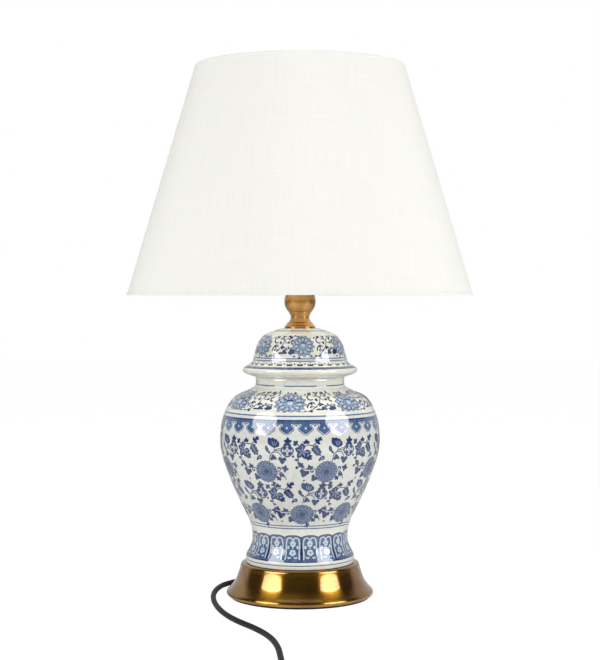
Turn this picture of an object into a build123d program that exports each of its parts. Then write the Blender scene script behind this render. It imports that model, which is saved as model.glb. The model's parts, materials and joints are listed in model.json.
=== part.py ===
from build123d import *
import os
from math import atan, cos, degrees, pi, radians, sin, sqrt, tan

# Ginger jar lamp: a porcelain temple jar with its lid on a spun brass base, a turned brass
# neck, a harp with a white cone shade, and a free mains lead with an inline switch and a plug.
# Millimetres, +Z up, origin at the bottom centre of the base, front of the lamp towards -Y.

# ---- driving dimensions: base ----
pad_thickness = 2.0
pad_inset = 4.4              # of the pad's edge from the rim
base_top_z = 37.9            # top face of the brass base, which carries the jar
rim_radius = 80.9            # widest circle of the base
rim_bead = 3.0               # radius of the rolled rim
shoulder_radius = 65.6       # base just under its rounded top edge
shoulder_round = 3.2
shell_wall = 2.0
plate_thickness = 1.6
rim_lap = 1.3                # how far the rolled rim's inner side reaches over its hollow
plate_gap = 0.3              # between the bottom plate and the rim
ballast_radius = 59.0
ballast_thickness = 12.0
boss_radius = 7.0
boss_circle = 47.0
boss_count = 3
screw_radius = 2.0
screw_length = 12.0
clamp_radius = 42.0          # distance of the cord clamp from the axis
clamp_width = 26.0
clamp_length = 9.0
clamp_bar = 2.0
clamp_screw_offset = 8.5
clamp_screw_radius = 1.6
clamp_screw_head = 2.8
clamp_head_height = 1.8
clamp_screw_length = 10.0
clamp_screw_gap = 1.0        # between a clamp screw's end and the bottom of its hole

# ---- driving dimensions: jar and lid ----
gasket_thickness = 0.6
gasket_inset = 1.0
foot_radius = 59.8
foot_inner_radius = 50.5
foot_height = 5.2
foot_recess = 5.0
jar_wall = 5.0
jar_floor = 6.0
waist_radius = 52.4
waist_height = 29.5
belly_radius = 88.0
belly_height = 136.8
neck_radius = 48.9
neck_height = 194.0          # where the shoulder turns up into the neck
neck_turn = 3.2              # radius of that turn
neck_length = 9.5            # from there to the jar's top
lid_height = 53.4
lid_wall = 4.6
flange_radius = 63.2
flange_height = 7.0          # of the lid's widest circle above its seat
flange_nose = 3.8            # half thickness of the rounded flange
dome_radius = 52.2
dome_height = 17.4           # where the lid's side rises out of its flange
lid_flat_radius = 17.2
lid_seat = 1.0               # how far the lid's underside reaches past the neck
collar_depth = 9.0
collar_gap = 0.8             # between the lid's collar and the inside of the neck
collar_wall = 4.0

# ---- driving dimensions: neck, rod and harp ----
rod_radius = 5.0
rod_bore = 3.5
rod_tail = 1.5               # of the rod below the lower nut
rod_head = 9.0               # of the rod inside the lampholder
thread_gap = 0.05            # between the rod and what is screwed on it
rod_hole_gap = 0.4           # between the rod and what it only passes through
nut_across_flats = 17.0
nut_height = 5.0
washer_thickness = 1.2
washer_radius = 10.0
spool_foot_radius = 17.0
spool_foot_height = 12.5
spool_waist_radius = 10.2
spool_ball_radius = 17.4
spool_ball_height = 29.7     # of the ball's centre above the lid
spool_height = 40.5
saddle_thickness = 1.6
saddle_width = 14.0
peg_spacing = 53.0
peg_height = 8.0
wire_radius = 2.0
sleeve_gap = 0.1
ferrule_radius = 3.4
ferrule_length = 14.0
harp_height = 226.0          # from the saddle's top to the top of the harp's wire
harp_straight = 38.0
shoulder_up = 72.0           # of the harp's wide part above the saddle
crown_down = 53.0            # of the harp's wide part below its top
harp_width = 108.0
harp_top_width = 28.0
harp_plate_radius = 9.0
harp_plate_thickness = 3.0
harp_plate_rise = 1.5        # of the plate above the wire's top
stud_radius = 3.15
stud_length = 12.5
finial_height = 29.0
finial_radius = 8.5
finial_foot_radius = 8.0

# ---- driving dimensions: lampholder and bulb ----
holder_radius = 20.0
holder_wall = 1.8
holder_cap_height = 20.0
holder_skirt_height = 35.0
screw_shell_radius = 13.35   # inside of the threaded shell
screw_shell_wall = 0.4
bulb_cap_radius = 13.1
bulb_cap_height = 22.0
bulb_radius = 30.0
bulb_length = 104.0
contact_gap = 0.1
contact_height = 3.0
contact_thickness = 0.8
contact_length = 20.0
contact_width = 6.0
contact_point_radius = 2.5
terminal_x = 9.0
terminal_radius = 2.5
terminal_hole_gap = 0.1
well_rise = 8.0              # of the well's floor above the skirt's lower edge
insert_inset = 3.0           # of the insert past each end of the skirt's straight part
insert_gap = 0.2
bulb_point_radius = 4.5
bulb_point_height = 1.2
bulb_insulator_height = 4.0
bulb_insulator_radius = 5.5
bulb_cap_step = 2.0

# ---- driving dimensions: shade ----
shade_bottom_radius = 191.0
shade_top_radius = 116.3
shade_bottom_z = 332.3
shade_height = 252.4
cover_thickness = 0.6
liner_thickness = 0.6
laminate_gap = 0.05
hem_thickness = 0.4
hem_height = 2.8
ring_wire_radius = 1.2
arm_wire_radius = 1.5
spider_washer_radius = 12.5
spider_washer_thickness = 2.0
spider_arms = 3
arm_level = 40.0             # radius at which an arm leaves the washer's level and climbs
arm_bend = 25.0

# ---- driving dimensions: cord, switch, coil and plug ----
cord_radius = 2.9
core_radius = 1.2
core_spacing = 2.6
sheath_end = 30.0            # distance from the axis at which the sheath is cut back
lay_height = 2.95            # centre of the cord where it lies on the table
exit_azimuth = 62.5
exit_z = 14.0
relief_radius = 6.2
relief_tuck = 0.6            # how far the grommet's inner end starts inside the shoulder
relief_step = 3.0            # how far outside the shoulder the tapered part starts
relief_end_radius = 3.6
relief_end = 95.0            # distance of the relief's end face from the axis
grommet_radius = 5.1
grommet_gap = 0.1
grommet_lip = 2.0            # how far its inner lip stands out, and how thick the lip is
switch_x = 81.0
switch_y = -395.0
switch_length = 58.0
switch_width = 24.0
switch_height = 15.0
switch_split = 6.5           # height of the joint between its halves, and of the cord there
switch_wall = 2.0
switch_round = 8.0           # corner radius of its outline
rocker_length = 19.2
rocker_width = 10.4
rocker_gap = 0.6
rocker_tilt = 9.0
pivot_radius = 1.5
pivot_gap = 0.07
pivot_drop = 2.5             # of the rocker's pivot below the cover's top
ear_width = 2.4
ear_length = 7.0
ear_drop = 3.2               # of the ears' lower edge below the pivot
case_screw_x = 19.0
case_screw_y = 7.0
case_screw_radius = 1.4
case_screw_length = 9.0
case_boss_radius = 3.2
case_head_radius = 2.6
case_head_height = 1.6
case_head_sink = 0.4
coil_x = 147.0
coil_outer = 39.5            # radius of the outermost turn's centre line
coil_pitch = 6.3             # from a turn to the next, and from a layer to the next
coil_low_z = 3.6
coil_half_turns = 9
tie_thickness = 0.6
tie_width = 5.0
tie_gap = 0.1
plug_width = 35.3
plug_thickness = 14.0
plug_length = 36.0
plug_relief_length = 22.0
plug_relief_radius = 5.6
plug_tail = 40.0             # of the lead between the coil and the plug's relief
plug_lift = 0.2              # of the plug's body above the table
pin_radius = 2.0
pin_length = 19.0
pin_spacing = 18.6
pin_sleeve_length = 10.0
pin_sleeve_radius = 1.9
pin_core_radius = 1.5


def between(low, high, share):
    """The value that lies the given share of the way from low to high."""
    return low + (high - low) * share


def polar(radius, azimuth, z):
    """A point at a distance from the axis, an azimuth in degrees and a height."""
    return Vector(radius * cos(radians(azimuth)), radius * sin(radians(azimuth)), z)


def soft_radii(points):
    """Corner radii of a lead: 0.45 of the shorter run over the tangent of half the turn."""
    radii = []
    for before, corner, after in zip(points, points[1:], points[2:]):
        first = Vector(*corner) - Vector(*before)
        second = Vector(*after) - Vector(*corner)
        shorter = min(first.length, second.length)
        radii.append(0.45 * shorter / tan(radians(first.get_angle(second)) / 2))
    return radii


def biarc(start, start_way, end, end_way):
    """Two arcs that leave start along start_way and reach end along end_way, joined smoothly."""
    chord = end - start
    ways = start_way + end_way
    a = 2 * (start_way.dot(end_way) - 1)
    b = -2 * chord.dot(ways)
    c = chord.dot(chord)
    reach = (-b - sqrt(b * b - 4 * a * c)) / (2 * a)
    joint = (start + start_way * reach + end - end_way * reach) * 0.5
    middle_way = (joint - start - start_way * reach).normalized()
    return [
        Edge.make_tangent_arc(start, start_way, joint),
        Edge.make_tangent_arc(joint, middle_way, end),
    ]


parts = {}


def keep(name, made):
    """Labels a finished piece and holds it for writing."""
    made.part.label = name
    parts[name] = made


# ---- heights and sizes that follow from the driving dimensions ----
pad_radius = rim_radius - pad_inset
rim_bottom_z = pad_thickness
rim_centre_z = rim_bottom_z + rim_bead
shoulder_z = base_top_z - shoulder_round
plate_top_z = pad_thickness + plate_thickness
rim_inner_radius = rim_radius - 2 * rim_bead + rim_lap
ceiling_z = base_top_z - shell_wall
ballast_bottom_z = ceiling_z - ballast_thickness
lower_nut_top_z = ballast_bottom_z - washer_thickness
rod_bottom_z = lower_nut_top_z - nut_height - rod_tail
jar_bottom_z = base_top_z + gasket_thickness
jar_top_z = jar_bottom_z + neck_height + neck_length
lid_bottom_z = jar_top_z + gasket_thickness
lid_top_z = lid_bottom_z + lid_height
spool_top_z = lid_top_z + spool_height
saddle_top_z = spool_top_z + saddle_thickness
holder_bottom_z = saddle_top_z + nut_height
rod_top_z = holder_bottom_z + rod_head
passing_radius = rod_radius + rod_hole_gap
threaded_radius = rod_radius + thread_gap
peg_top_z = saddle_top_z + peg_height
harp_wire_top_z = saddle_top_z + harp_height
harp_plate_top_z = harp_wire_top_z + harp_plate_rise
spider_top_z = harp_plate_top_z + spider_washer_thickness


def base_wall(inset):
    """The base's sweep from its rim up to its shoulder, as (radius, height), moved in by inset."""
    shares = [(0.831, 0.135), (0.656, 0.236), (0.364, 0.455), (0.143, 0.758)]
    return [
        (
            between(shoulder_radius, rim_radius, out) - inset,
            between(rim_centre_z, shoulder_z, up),
        )
        for out, up in shares
    ]


clamp_way = polar(1, exit_azimuth, 0)
relief_plane = Plane(origin=(0, 0, exit_z), x_dir=polar(1, exit_azimuth + 90, 0), z_dir=clamp_way)

# ---- base ----
with BuildPart() as base_pad:
    with BuildSketch():
        Circle(pad_radius)
    extrude(amount=pad_thickness)
keep("base_pad", base_pad)

with BuildPart() as base_form:
    with BuildSketch(Plane.XZ):
        with BuildLine():
            bead = CenterArc((rim_radius - rim_bead, rim_centre_z), rim_bead, -90, 120)
            shoulder = CenterArc(
                (shoulder_radius - shoulder_round, shoulder_z), shoulder_round, 90, -80
            )
            Spline(bead @ 1, *base_wall(0), shoulder @ 1, tangents=[bead % 1, (shoulder % 1) * -1])
            Polyline(shoulder @ 0, (0, base_top_z), (0, rim_bottom_z), bead @ 0)
        make_face()
    revolve(axis=Axis.Z)

with BuildPart() as base_shell:
    add(base_form.part)
    with BuildSketch(Plane.XZ):
        with BuildLine():
            inner_wall = base_wall(shell_wall)
            top_corner = (shoulder_radius - shell_wall - 0.6, ceiling_z - 1.5)
            Spline((rim_inner_radius, inner_wall[0][1]), *inner_wall[1:], top_corner)
            Polyline(
                top_corner,
                (top_corner[0] - 1.5, ceiling_z),
                (0, ceiling_z),
                (0, rim_bottom_z),
                (rim_inner_radius, rim_bottom_z),
                (rim_inner_radius, inner_wall[0][1]),
            )
        make_face()
    revolve(axis=Axis.Z, mode=Mode.SUBTRACT)
    with BuildSketch(Plane.XY.offset(ceiling_z)):
        Circle(passing_radius)
    extrude(amount=shell_wall, mode=Mode.SUBTRACT)
    with BuildSketch(relief_plane):
        Circle(grommet_radius + grommet_gap)
    extrude(amount=rim_radius, mode=Mode.SUBTRACT)
keep("base_shell", base_shell)

boss_azimuths = [exit_azimuth + 60 + step * 360 / boss_count for step in range(boss_count)]
screw_head_radius = screw_radius + plate_thickness

with BuildPart() as bottom_plate:
    with BuildSketch(Plane.XY.offset(pad_thickness)):
        Circle(rim_inner_radius - plate_gap)
    extrude(amount=plate_thickness)
    for azimuth in boss_azimuths:
        with BuildSketch(Plane(origin=polar(boss_circle, azimuth, pad_thickness))):
            Circle(screw_head_radius + grommet_gap)
        extrude(amount=plate_thickness, taper=45, mode=Mode.SUBTRACT)
keep("bottom_plate", bottom_plate)

clamp_top_z = exit_z + cord_radius
clamp_bottom_z = exit_z - cord_radius
clamp_screws_at = [
    polar(clamp_radius, exit_azimuth, 0) + polar(side * clamp_screw_offset, exit_azimuth + 90, 0)
    for side in (-1, 1)
]

with BuildPart() as ballast:
    with BuildSketch(Plane.XY.offset(ballast_bottom_z)):
        Circle(ballast_radius)
        Circle(passing_radius, mode=Mode.SUBTRACT)
    extrude(amount=ballast_thickness)
    for azimuth in boss_azimuths:
        with BuildSketch(Plane(origin=polar(boss_circle, azimuth, plate_top_z))):
            Circle(boss_radius)
            Circle(screw_radius + thread_gap, mode=Mode.SUBTRACT)
        extrude(amount=ballast_bottom_z - plate_top_z)
    with BuildSketch(Plane(origin=polar(clamp_radius, exit_azimuth, clamp_top_z), x_dir=clamp_way)):
        Rectangle(clamp_length, clamp_width)
    extrude(amount=ballast_bottom_z - clamp_top_z)
    for spot in clamp_screws_at:
        with BuildSketch(Plane(origin=spot + Vector(0, 0, clamp_top_z))):
            Circle(clamp_screw_radius + thread_gap)
        extrude(amount=clamp_screw_length, mode=Mode.SUBTRACT)
keep("ballast", ballast)

with BuildPart() as plate_screws:
    for azimuth in boss_azimuths:
        with BuildSketch(Plane(origin=polar(boss_circle, azimuth, pad_thickness))):
            Circle(screw_head_radius)
        extrude(amount=plate_thickness, taper=45)
        with BuildSketch(Plane(origin=polar(boss_circle, azimuth, pad_thickness))):
            Circle(screw_radius)
        extrude(amount=screw_length)
keep("plate_screws", plate_screws)

with BuildPart() as cord_clamp:
    bar_bottom = polar(clamp_radius, exit_azimuth, clamp_bottom_z - clamp_bar)
    with BuildSketch(Plane(origin=bar_bottom, x_dir=clamp_way)):
        RectangleRounded(clamp_length, clamp_width, clamp_bar)
    extrude(amount=clamp_bar)
    for spot in clamp_screws_at:
        with BuildSketch(Plane(origin=spot + Vector(0, 0, clamp_bottom_z - clamp_bar))):
            Circle(clamp_screw_radius + grommet_gap)
        extrude(amount=clamp_bar, mode=Mode.SUBTRACT)
keep("cord_clamp", cord_clamp)

with BuildPart() as clamp_screws:
    for spot in clamp_screws_at:
        with BuildSketch(Plane(origin=spot + Vector(0, 0, clamp_bottom_z - clamp_bar - clamp_head_height))):
            Circle(clamp_screw_head)
        extrude(amount=clamp_head_height)
        with BuildSketch(Plane(origin=spot + Vector(0, 0, clamp_bottom_z - clamp_bar))):
            Circle(clamp_screw_radius)
        extrude(amount=clamp_top_z + clamp_screw_length - clamp_screw_gap - clamp_bottom_z + clamp_bar)
keep("clamp_screws", clamp_screws)

relief_inner = shoulder_radius - relief_tuck
relief_start = shoulder_radius + relief_step
with BuildPart() as strain_relief:
    with BuildSketch(relief_plane.offset(relief_start)):
        Circle(relief_radius)
    with BuildSketch(relief_plane.offset(relief_end)):
        Circle(relief_end_radius)
    loft()
    add(base_form.part, mode=Mode.SUBTRACT)
    with BuildSketch(relief_plane.offset(relief_inner)):
        Circle(grommet_radius)
    extrude(amount=rim_radius - relief_inner)
    with BuildSketch(relief_plane.offset(relief_inner)):
        Circle(grommet_radius + grommet_lip)
    extrude(amount=grommet_lip)
keep("strain_relief", strain_relief)

# ---- jar and lid ----
def gasket(inner, outer, z):
    """A flat soft ring of the gasket's thickness."""
    with BuildPart() as ring:
        with BuildSketch(Plane.XY.offset(z)):
            Circle(outer)
            Circle(inner, mode=Mode.SUBTRACT)
        extrude(amount=gasket_thickness)
    return ring


keep("foot_gasket", gasket(foot_inner_radius + gasket_inset, foot_radius - gasket_inset, base_top_z))


def jar_wall_points(inset):
    """The jar's side from its foot up to its neck, as (radius, height), moved in by inset."""
    stations = [
        (foot_radius, foot_height),
        (waist_radius, waist_height),
        (belly_radius, belly_height),
        (neck_radius, neck_height),
    ]
    shares = [
        [(0.47, 0.36), (0.92, 0.70)],
        [(0.135, 0.186), (0.503, 0.438), (0.808, 0.685), (0.954, 0.840)],
        [(0.039, 0.28), (0.197, 0.601), (0.488, 0.823), (0.80, 0.918)],
    ]
    points = [stations[0]]
    for low, high, steps in zip(stations, stations[1:], shares):
        points += [(between(low[0], high[0], r), between(low[1], high[1], h)) for r, h in steps]
        points.append(high)
    return [(radius - inset, jar_bottom_z + height) for radius, height in points[:-1]]


neck_inner_radius = neck_radius - jar_wall

with BuildPart() as jar:
    with BuildSketch(Plane.XZ):
        with BuildLine():
            side = jar_wall_points(0)
            neck_start = (neck_radius + neck_turn, jar_bottom_z + neck_height - neck_turn * 0.62)
            Line((foot_radius, jar_bottom_z), side[0])
            Spline(*side, neck_start, tangents=[(0, 1), (-0.93, 0.37)])
            turn = Spline(
                neck_start,
                (neck_radius, jar_bottom_z + neck_height + neck_turn * 0.62),
                tangents=[(-0.93, 0.37), (0, 1)],
            )
            Polyline(
                turn @ 1,
                (neck_radius, jar_top_z),
                (neck_inner_radius, jar_top_z),
                (0, jar_top_z),
                (0, jar_bottom_z),
                (foot_radius, jar_bottom_z),
            )
        make_face()
    revolve(axis=Axis.Z)
    with BuildSketch(Plane.XZ):
        with BuildLine():
            hollow = [p for p in jar_wall_points(jar_wall) if p[1] > jar_bottom_z + waist_height - 1]
            floor_z = jar_bottom_z + foot_recess + jar_floor
            throat = (neck_inner_radius, jar_bottom_z + neck_height)
            floor_edge = (waist_radius - jar_wall, floor_z)
            Line(floor_edge, hollow[0])
            Spline(*hollow, throat)
            Polyline(throat, (neck_inner_radius, jar_top_z), (0, jar_top_z), (0, floor_z), floor_edge)
        make_face()
    revolve(axis=Axis.Z, mode=Mode.SUBTRACT)
    with BuildSketch(Plane.XY.offset(jar_bottom_z)):
        Circle(foot_inner_radius)
    extrude(amount=foot_recess, mode=Mode.SUBTRACT)
    with BuildSketch(Plane.XY.offset(jar_bottom_z)):
        Circle(passing_radius)
    extrude(amount=foot_recess + jar_floor, mode=Mode.SUBTRACT)
keep("jar", jar)

keep("lid_gasket", gasket(neck_inner_radius + gasket_inset, neck_radius - gasket_inset, jar_top_z))


def dome_points(inset):
    """The lid's side and crown from its flange up to its flat top, as (radius, height)."""
    shares = [
        (0.069, 0.261),
        (0.134, 0.475),
        (0.229, 0.644),
        (0.343, 0.767),
        (0.52, 0.858),
        (0.78, 0.95),
    ]
    crown = [(dome_radius, dome_height)]
    crown += [
        (between(dome_radius, lid_flat_radius, r), between(dome_height, lid_height, h)) for r, h in shares
    ]
    return [(radius - inset, lid_bottom_z + height - inset) for radius, height in crown]


with BuildPart() as lid:
    with BuildSketch(Plane.XZ):
        with BuildLine():
            nose = [(-4.0, -3.9), (-1.4, -2.3), (0.0, 0.0), (-0.6, 2.2), (-2.5, 3.8)]
            nose = [
                (flange_radius + out, lid_bottom_z + flange_height + up * flange_nose / 3.8)
                for out, up in nose
            ]
            cove = [
                (between(nose[-1][0], dome_radius, r), between(nose[-1][1], lid_bottom_z + dome_height, h))
                for r, h in [(0.47, 0.31), (0.79, 0.64)]
            ]
            crown = dome_points(0)
            Line((neck_radius + lid_seat, lid_bottom_z), nose[0])
            Spline(*nose, *cove, crown[0], tangents=[(0.95, 0.3), (-0.22, 1)])
            Spline(*crown, (lid_flat_radius, lid_top_z), tangents=[(-0.22, 1), (-1, 0.02)])
            Polyline(
                (lid_flat_radius, lid_top_z),
                (0, lid_top_z),
                (0, lid_bottom_z - collar_depth),
                (neck_inner_radius - collar_gap, lid_bottom_z - collar_depth),
                (neck_inner_radius - collar_gap, lid_bottom_z),
                (neck_radius + lid_seat, lid_bottom_z),
            )
        make_face()
    revolve(axis=Axis.Z)
    with BuildSketch(Plane.XZ):
        with BuildLine():
            vault = dome_points(lid_wall)
            collar_inner = neck_inner_radius - collar_gap - collar_wall
            Spline(*vault)
            Polyline(
                vault[-1],
                (0, vault[-1][1]),
                (0, lid_bottom_z - collar_depth),
                (collar_inner, lid_bottom_z - collar_depth),
                (collar_inner, lid_bottom_z + flange_height - lid_wall / 2),
                vault[0],
            )
        make_face()
    revolve(axis=Axis.Z, mode=Mode.SUBTRACT)
    with BuildSketch(Plane.XY.offset(lid_bottom_z)):
        Circle(passing_radius)
    extrude(amount=lid_height, mode=Mode.SUBTRACT)
keep("lid", lid)

# ---- neck spool, rod and their fastenings ----
with BuildPart() as neck_spool:
    with BuildSketch(Plane.XZ):
        with BuildLine():
            def up(height):
                return lid_top_z + height

            ball_centre = up(spool_ball_height)
            ball_foot_z = ball_centre - 0.644 * spool_ball_radius
            ball_foot = (0.765 * spool_ball_radius, ball_foot_z)
            ball_head_z = up(spool_height)
            ball_head_r = sqrt(spool_ball_radius**2 - (ball_head_z - ball_centre) ** 2)
            lip = (ball_foot[0] - 0.9, ball_foot_z - 1.0)
            foot_lip = (spool_waist_radius + 2.0, up(6.9))
            Polyline(
                (passing_radius, up(0)),
                (spool_foot_radius, up(0)),
                (spool_foot_radius, up(1.2)),
            )
            Spline(
                (spool_foot_radius, up(1.2)),
                (spool_foot_radius - 1.0, up(2.7)),
                (foot_lip[0] + 0.9, foot_lip[1] - 0.5),
                tangents=[(0, 1), (-1, 0.8)],
            )
            Line((foot_lip[0] + 0.9, foot_lip[1] - 0.5), foot_lip)
            Spline(
                foot_lip,
                (spool_waist_radius, up(spool_foot_height)),
                lip,
                tangents=[(-0.55, 1), (0.45, 1)],
            )
            Line(lip, ball_foot)
            ThreePointArc(ball_foot, (spool_ball_radius, ball_centre), (ball_head_r, ball_head_z))
            Polyline((ball_head_r, ball_head_z), (passing_radius, ball_head_z), (passing_radius, up(0)))
        make_face()
    revolve(axis=Axis.Z)
keep("neck_spool", neck_spool)

with BuildPart() as threaded_rod:
    with BuildSketch(Plane.XY.offset(rod_bottom_z)):
        Circle(rod_radius)
        Circle(rod_bore, mode=Mode.SUBTRACT)
    extrude(amount=rod_top_z - rod_bottom_z)
keep("threaded_rod", threaded_rod)


def rod_nut(bottom_z):
    """A hexagon nut on the rod, with its corners turned off."""
    with BuildPart() as nut:
        with BuildSketch(Plane.XY.offset(bottom_z)):
            RegularPolygon(nut_across_flats / 2, 6, major_radius=False)
            Circle(threaded_radius, mode=Mode.SUBTRACT)
        extrude(amount=nut_height)
    return nut


keep("lower_nut", rod_nut(lower_nut_top_z - nut_height))
keep("saddle_nut", rod_nut(saddle_top_z))

with BuildPart() as lower_washer:
    with BuildSketch(Plane.XY.offset(lower_nut_top_z)):
        Circle(washer_radius)
        Circle(passing_radius, mode=Mode.SUBTRACT)
    extrude(amount=washer_thickness)
keep("lower_washer", lower_washer)

# ---- harp, its saddle and its ferrules ----
peg_x = peg_spacing / 2

with BuildPart() as harp_saddle:
    with BuildSketch(Plane.XY.offset(spool_top_z)):
        SlotOverall(peg_spacing + saddle_width * 0.6, saddle_width * 0.6)
        Circle(saddle_width * 0.75)
        Circle(passing_radius, mode=Mode.SUBTRACT)
    extrude(amount=saddle_thickness)
    with BuildSketch(Plane.XY.offset(saddle_top_z)):
        with Locations((-peg_x, 0), (peg_x, 0)):
            Circle(wire_radius)
    extrude(amount=peg_height)
keep("harp_saddle", harp_saddle)

with BuildPart() as harp_wire:
    wire_top = harp_wire_top_z - wire_radius
    half = harp_width / 2
    top_half = harp_top_width / 2
    left = [
        (-peg_x, peg_top_z),
        (-peg_x, saddle_top_z + harp_straight),
        (-half, saddle_top_z + shoulder_up),
        (-half, wire_top - crown_down),
        (-top_half, wire_top),
    ]
    right = [(-x, z) for x, z in reversed(left)]
    bends = [30, 60, 80, 15]
    with BuildLine(Plane.XZ):
        FilletPolyline(*left, *right, radius=bends + bends[::-1])
    with BuildSketch(Plane.XY.offset(peg_top_z)):
        with Locations((-peg_x, 0)):
            Circle(wire_radius)
    sweep()
keep("harp_wire", harp_wire)

with BuildPart() as harp_plate:
    with BuildSketch(Plane.XY.offset(harp_plate_top_z - harp_plate_thickness)):
        Circle(harp_plate_radius)
    extrude(amount=harp_plate_thickness)
    with BuildSketch(Plane.XY.offset(harp_plate_top_z)):
        Circle(stud_radius)
    extrude(amount=stud_length)
    add(harp_wire.part, mode=Mode.SUBTRACT)
keep("harp_plate", harp_plate)


def ferrule(x):
    """A sleeve that slides down over the joint of the harp's leg and its peg."""
    with BuildPart() as sleeve:
        with BuildSketch(Plane.XY.offset(saddle_top_z)):
            with Locations((x, 0)):
                Circle(ferrule_radius)
                Circle(wire_radius + sleeve_gap, mode=Mode.SUBTRACT)
        extrude(amount=ferrule_length)
        fillet(sleeve.edges().filter_by(GeomType.CIRCLE).sort_by(SortBy.RADIUS)[-2:], 0.5)
    return sleeve


keep("ferrule_left", ferrule(-peg_x))
keep("ferrule_right", ferrule(peg_x))

# ---- lampholder ----
skirt_bottom_z = holder_bottom_z + holder_cap_height
holder_top_z = skirt_bottom_z + holder_skirt_height
holder_inner = holder_radius - holder_wall
insert_radius = holder_inner - insert_gap
shell_outer = screw_shell_radius + screw_shell_wall
well_floor_z = skirt_bottom_z + well_rise
insert_bottom_z = skirt_bottom_z - insert_inset
insert_top_z = holder_top_z - insert_inset

with BuildPart() as lampholder_cap:
    with BuildSketch(Plane.XZ):
        with BuildLine():
            neck_r = threaded_radius + 3.0
            Polyline(
                (threaded_radius, holder_bottom_z),
                (neck_r, holder_bottom_z),
                (neck_r, holder_bottom_z + 4),
            )
            Spline(
                (neck_r, holder_bottom_z + 4),
                (holder_radius, skirt_bottom_z),
                tangents=[(1, 0.4), (0, 1)],
            )
            Polyline(
                (holder_radius, skirt_bottom_z),
                (holder_inner, skirt_bottom_z),
                (holder_inner, insert_bottom_z - 1.0),
                (threaded_radius + 3.0, rod_top_z - 2.5),
                (threaded_radius, rod_top_z - 2.5),
                (threaded_radius, holder_bottom_z),
            )
        make_face()
    revolve(axis=Axis.Z)
keep("lampholder_cap", lampholder_cap)

with BuildPart() as lampholder_skirt:
    with BuildSketch(Plane.XY.offset(skirt_bottom_z)):
        Circle(holder_radius)
        Circle(holder_inner, mode=Mode.SUBTRACT)
    extrude(amount=holder_skirt_height)
    with BuildSketch(Plane.XY.offset(holder_top_z)):
        Circle(holder_radius)
        Circle(shell_outer + 0.6, mode=Mode.SUBTRACT)
    extrude(amount=1.6)
    fillet(lampholder_skirt.edges().group_by(Axis.Z)[-1].sort_by(SortBy.RADIUS)[-1], 1.0)
keep("lampholder_skirt", lampholder_skirt)

with BuildPart() as lampholder_insert:
    with BuildSketch(Plane.XY.offset(insert_bottom_z)):
        Circle(insert_radius)
    extrude(amount=insert_top_z - insert_bottom_z)
    with BuildSketch(Plane.XY.offset(well_floor_z)):
        Circle(shell_outer + 0.1)
    extrude(amount=insert_top_z - well_floor_z, mode=Mode.SUBTRACT)
    with BuildSketch(Plane.XY.offset(insert_bottom_z)):
        with Locations((-terminal_x, 0), (terminal_x, 0)):
            Circle(terminal_radius + terminal_hole_gap)
    extrude(amount=well_floor_z - insert_bottom_z, mode=Mode.SUBTRACT)
keep("lampholder_insert", lampholder_insert)

with BuildPart() as screw_shell:
    with BuildSketch(Plane.XY.offset(well_floor_z)):
        Circle(shell_outer)
        Circle(screw_shell_radius, mode=Mode.SUBTRACT)
    extrude(amount=insert_top_z - well_floor_z)
keep("screw_shell", screw_shell)

with BuildPart() as centre_contact:
    with BuildSketch(Plane.XY.offset(well_floor_z)):
        SlotOverall(contact_length, contact_width)
    extrude(amount=contact_thickness)
    with BuildSketch(Plane.XY.offset(well_floor_z + contact_thickness)):
        Circle(contact_point_radius)
    extrude(amount=contact_height - contact_thickness)
keep("centre_contact", centre_contact)

with BuildPart() as holder_terminals:
    for x in (-terminal_x, terminal_x):
        with BuildSketch(Plane.XY.offset(insert_bottom_z + 1.0)):
            with Locations((x, 0)):
                Circle(terminal_radius)
        extrude(amount=well_floor_z - insert_bottom_z - 1.0)
keep("holder_terminals", holder_terminals)

# ---- bulb ----
bulb_bottom_z = well_floor_z + contact_height + contact_gap
bulb_top_z = bulb_bottom_z + bulb_length
cap_bottom_z = bulb_bottom_z + bulb_insulator_height
cap_top_z = cap_bottom_z + bulb_cap_height

with BuildPart() as bulb_contact:
    with BuildSketch(Plane.XY.offset(bulb_bottom_z)):
        Circle(bulb_point_radius)
    extrude(amount=bulb_point_height)
keep("bulb_contact", bulb_contact)

with BuildPart() as bulb_insulator:
    with BuildSketch(Plane.XY.offset(bulb_bottom_z + bulb_point_height)):
        Circle(bulb_insulator_radius)
    with BuildSketch(Plane.XY.offset(cap_bottom_z)):
        Circle(bulb_cap_radius - bulb_cap_step)
    loft()
keep("bulb_insulator", bulb_insulator)

with BuildPart() as bulb_cap:
    with BuildSketch(Plane.XY.offset(cap_bottom_z)):
        Circle(bulb_cap_radius)
    extrude(amount=bulb_cap_height)
    chamfer(bulb_cap.edges().group_by(Axis.Z)[0], 1.5)
keep("bulb_cap", bulb_cap)

with BuildPart() as bulb_glass:
    with BuildSketch(Plane.XZ):
        with BuildLine():
            globe_z = bulb_top_z - bulb_radius
            globe_start = (bulb_radius * cos(radians(-25)), globe_z + bulb_radius * sin(radians(-25)))
            Line((0, cap_top_z), (bulb_cap_radius, cap_top_z))
            Spline(
                (bulb_cap_radius, cap_top_z),
                (bulb_cap_radius + 1.2, cap_top_z + 8),
                globe_start,
                tangents=[(0, 1), (sin(radians(25)), cos(radians(25)))],
            )
            CenterArc((0, globe_z), bulb_radius, -25, 115)
            Line((0, bulb_top_z), (0, cap_top_z))
        make_face()
    revolve(axis=Axis.Z)
keep("bulb_glass", bulb_glass)

# ---- shade ----
shade_top_z = shade_bottom_z + shade_height
shade_slope = (shade_bottom_radius - shade_top_radius) / shade_height
across = sqrt(1 + shade_slope**2)    # horizontal width of a layer over its thickness


def shade_radius(z, depth):
    """Radius of the cone at a height, at a depth in from its outer face."""
    return shade_bottom_radius - (z - shade_bottom_z) * shade_slope - depth * across


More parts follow.
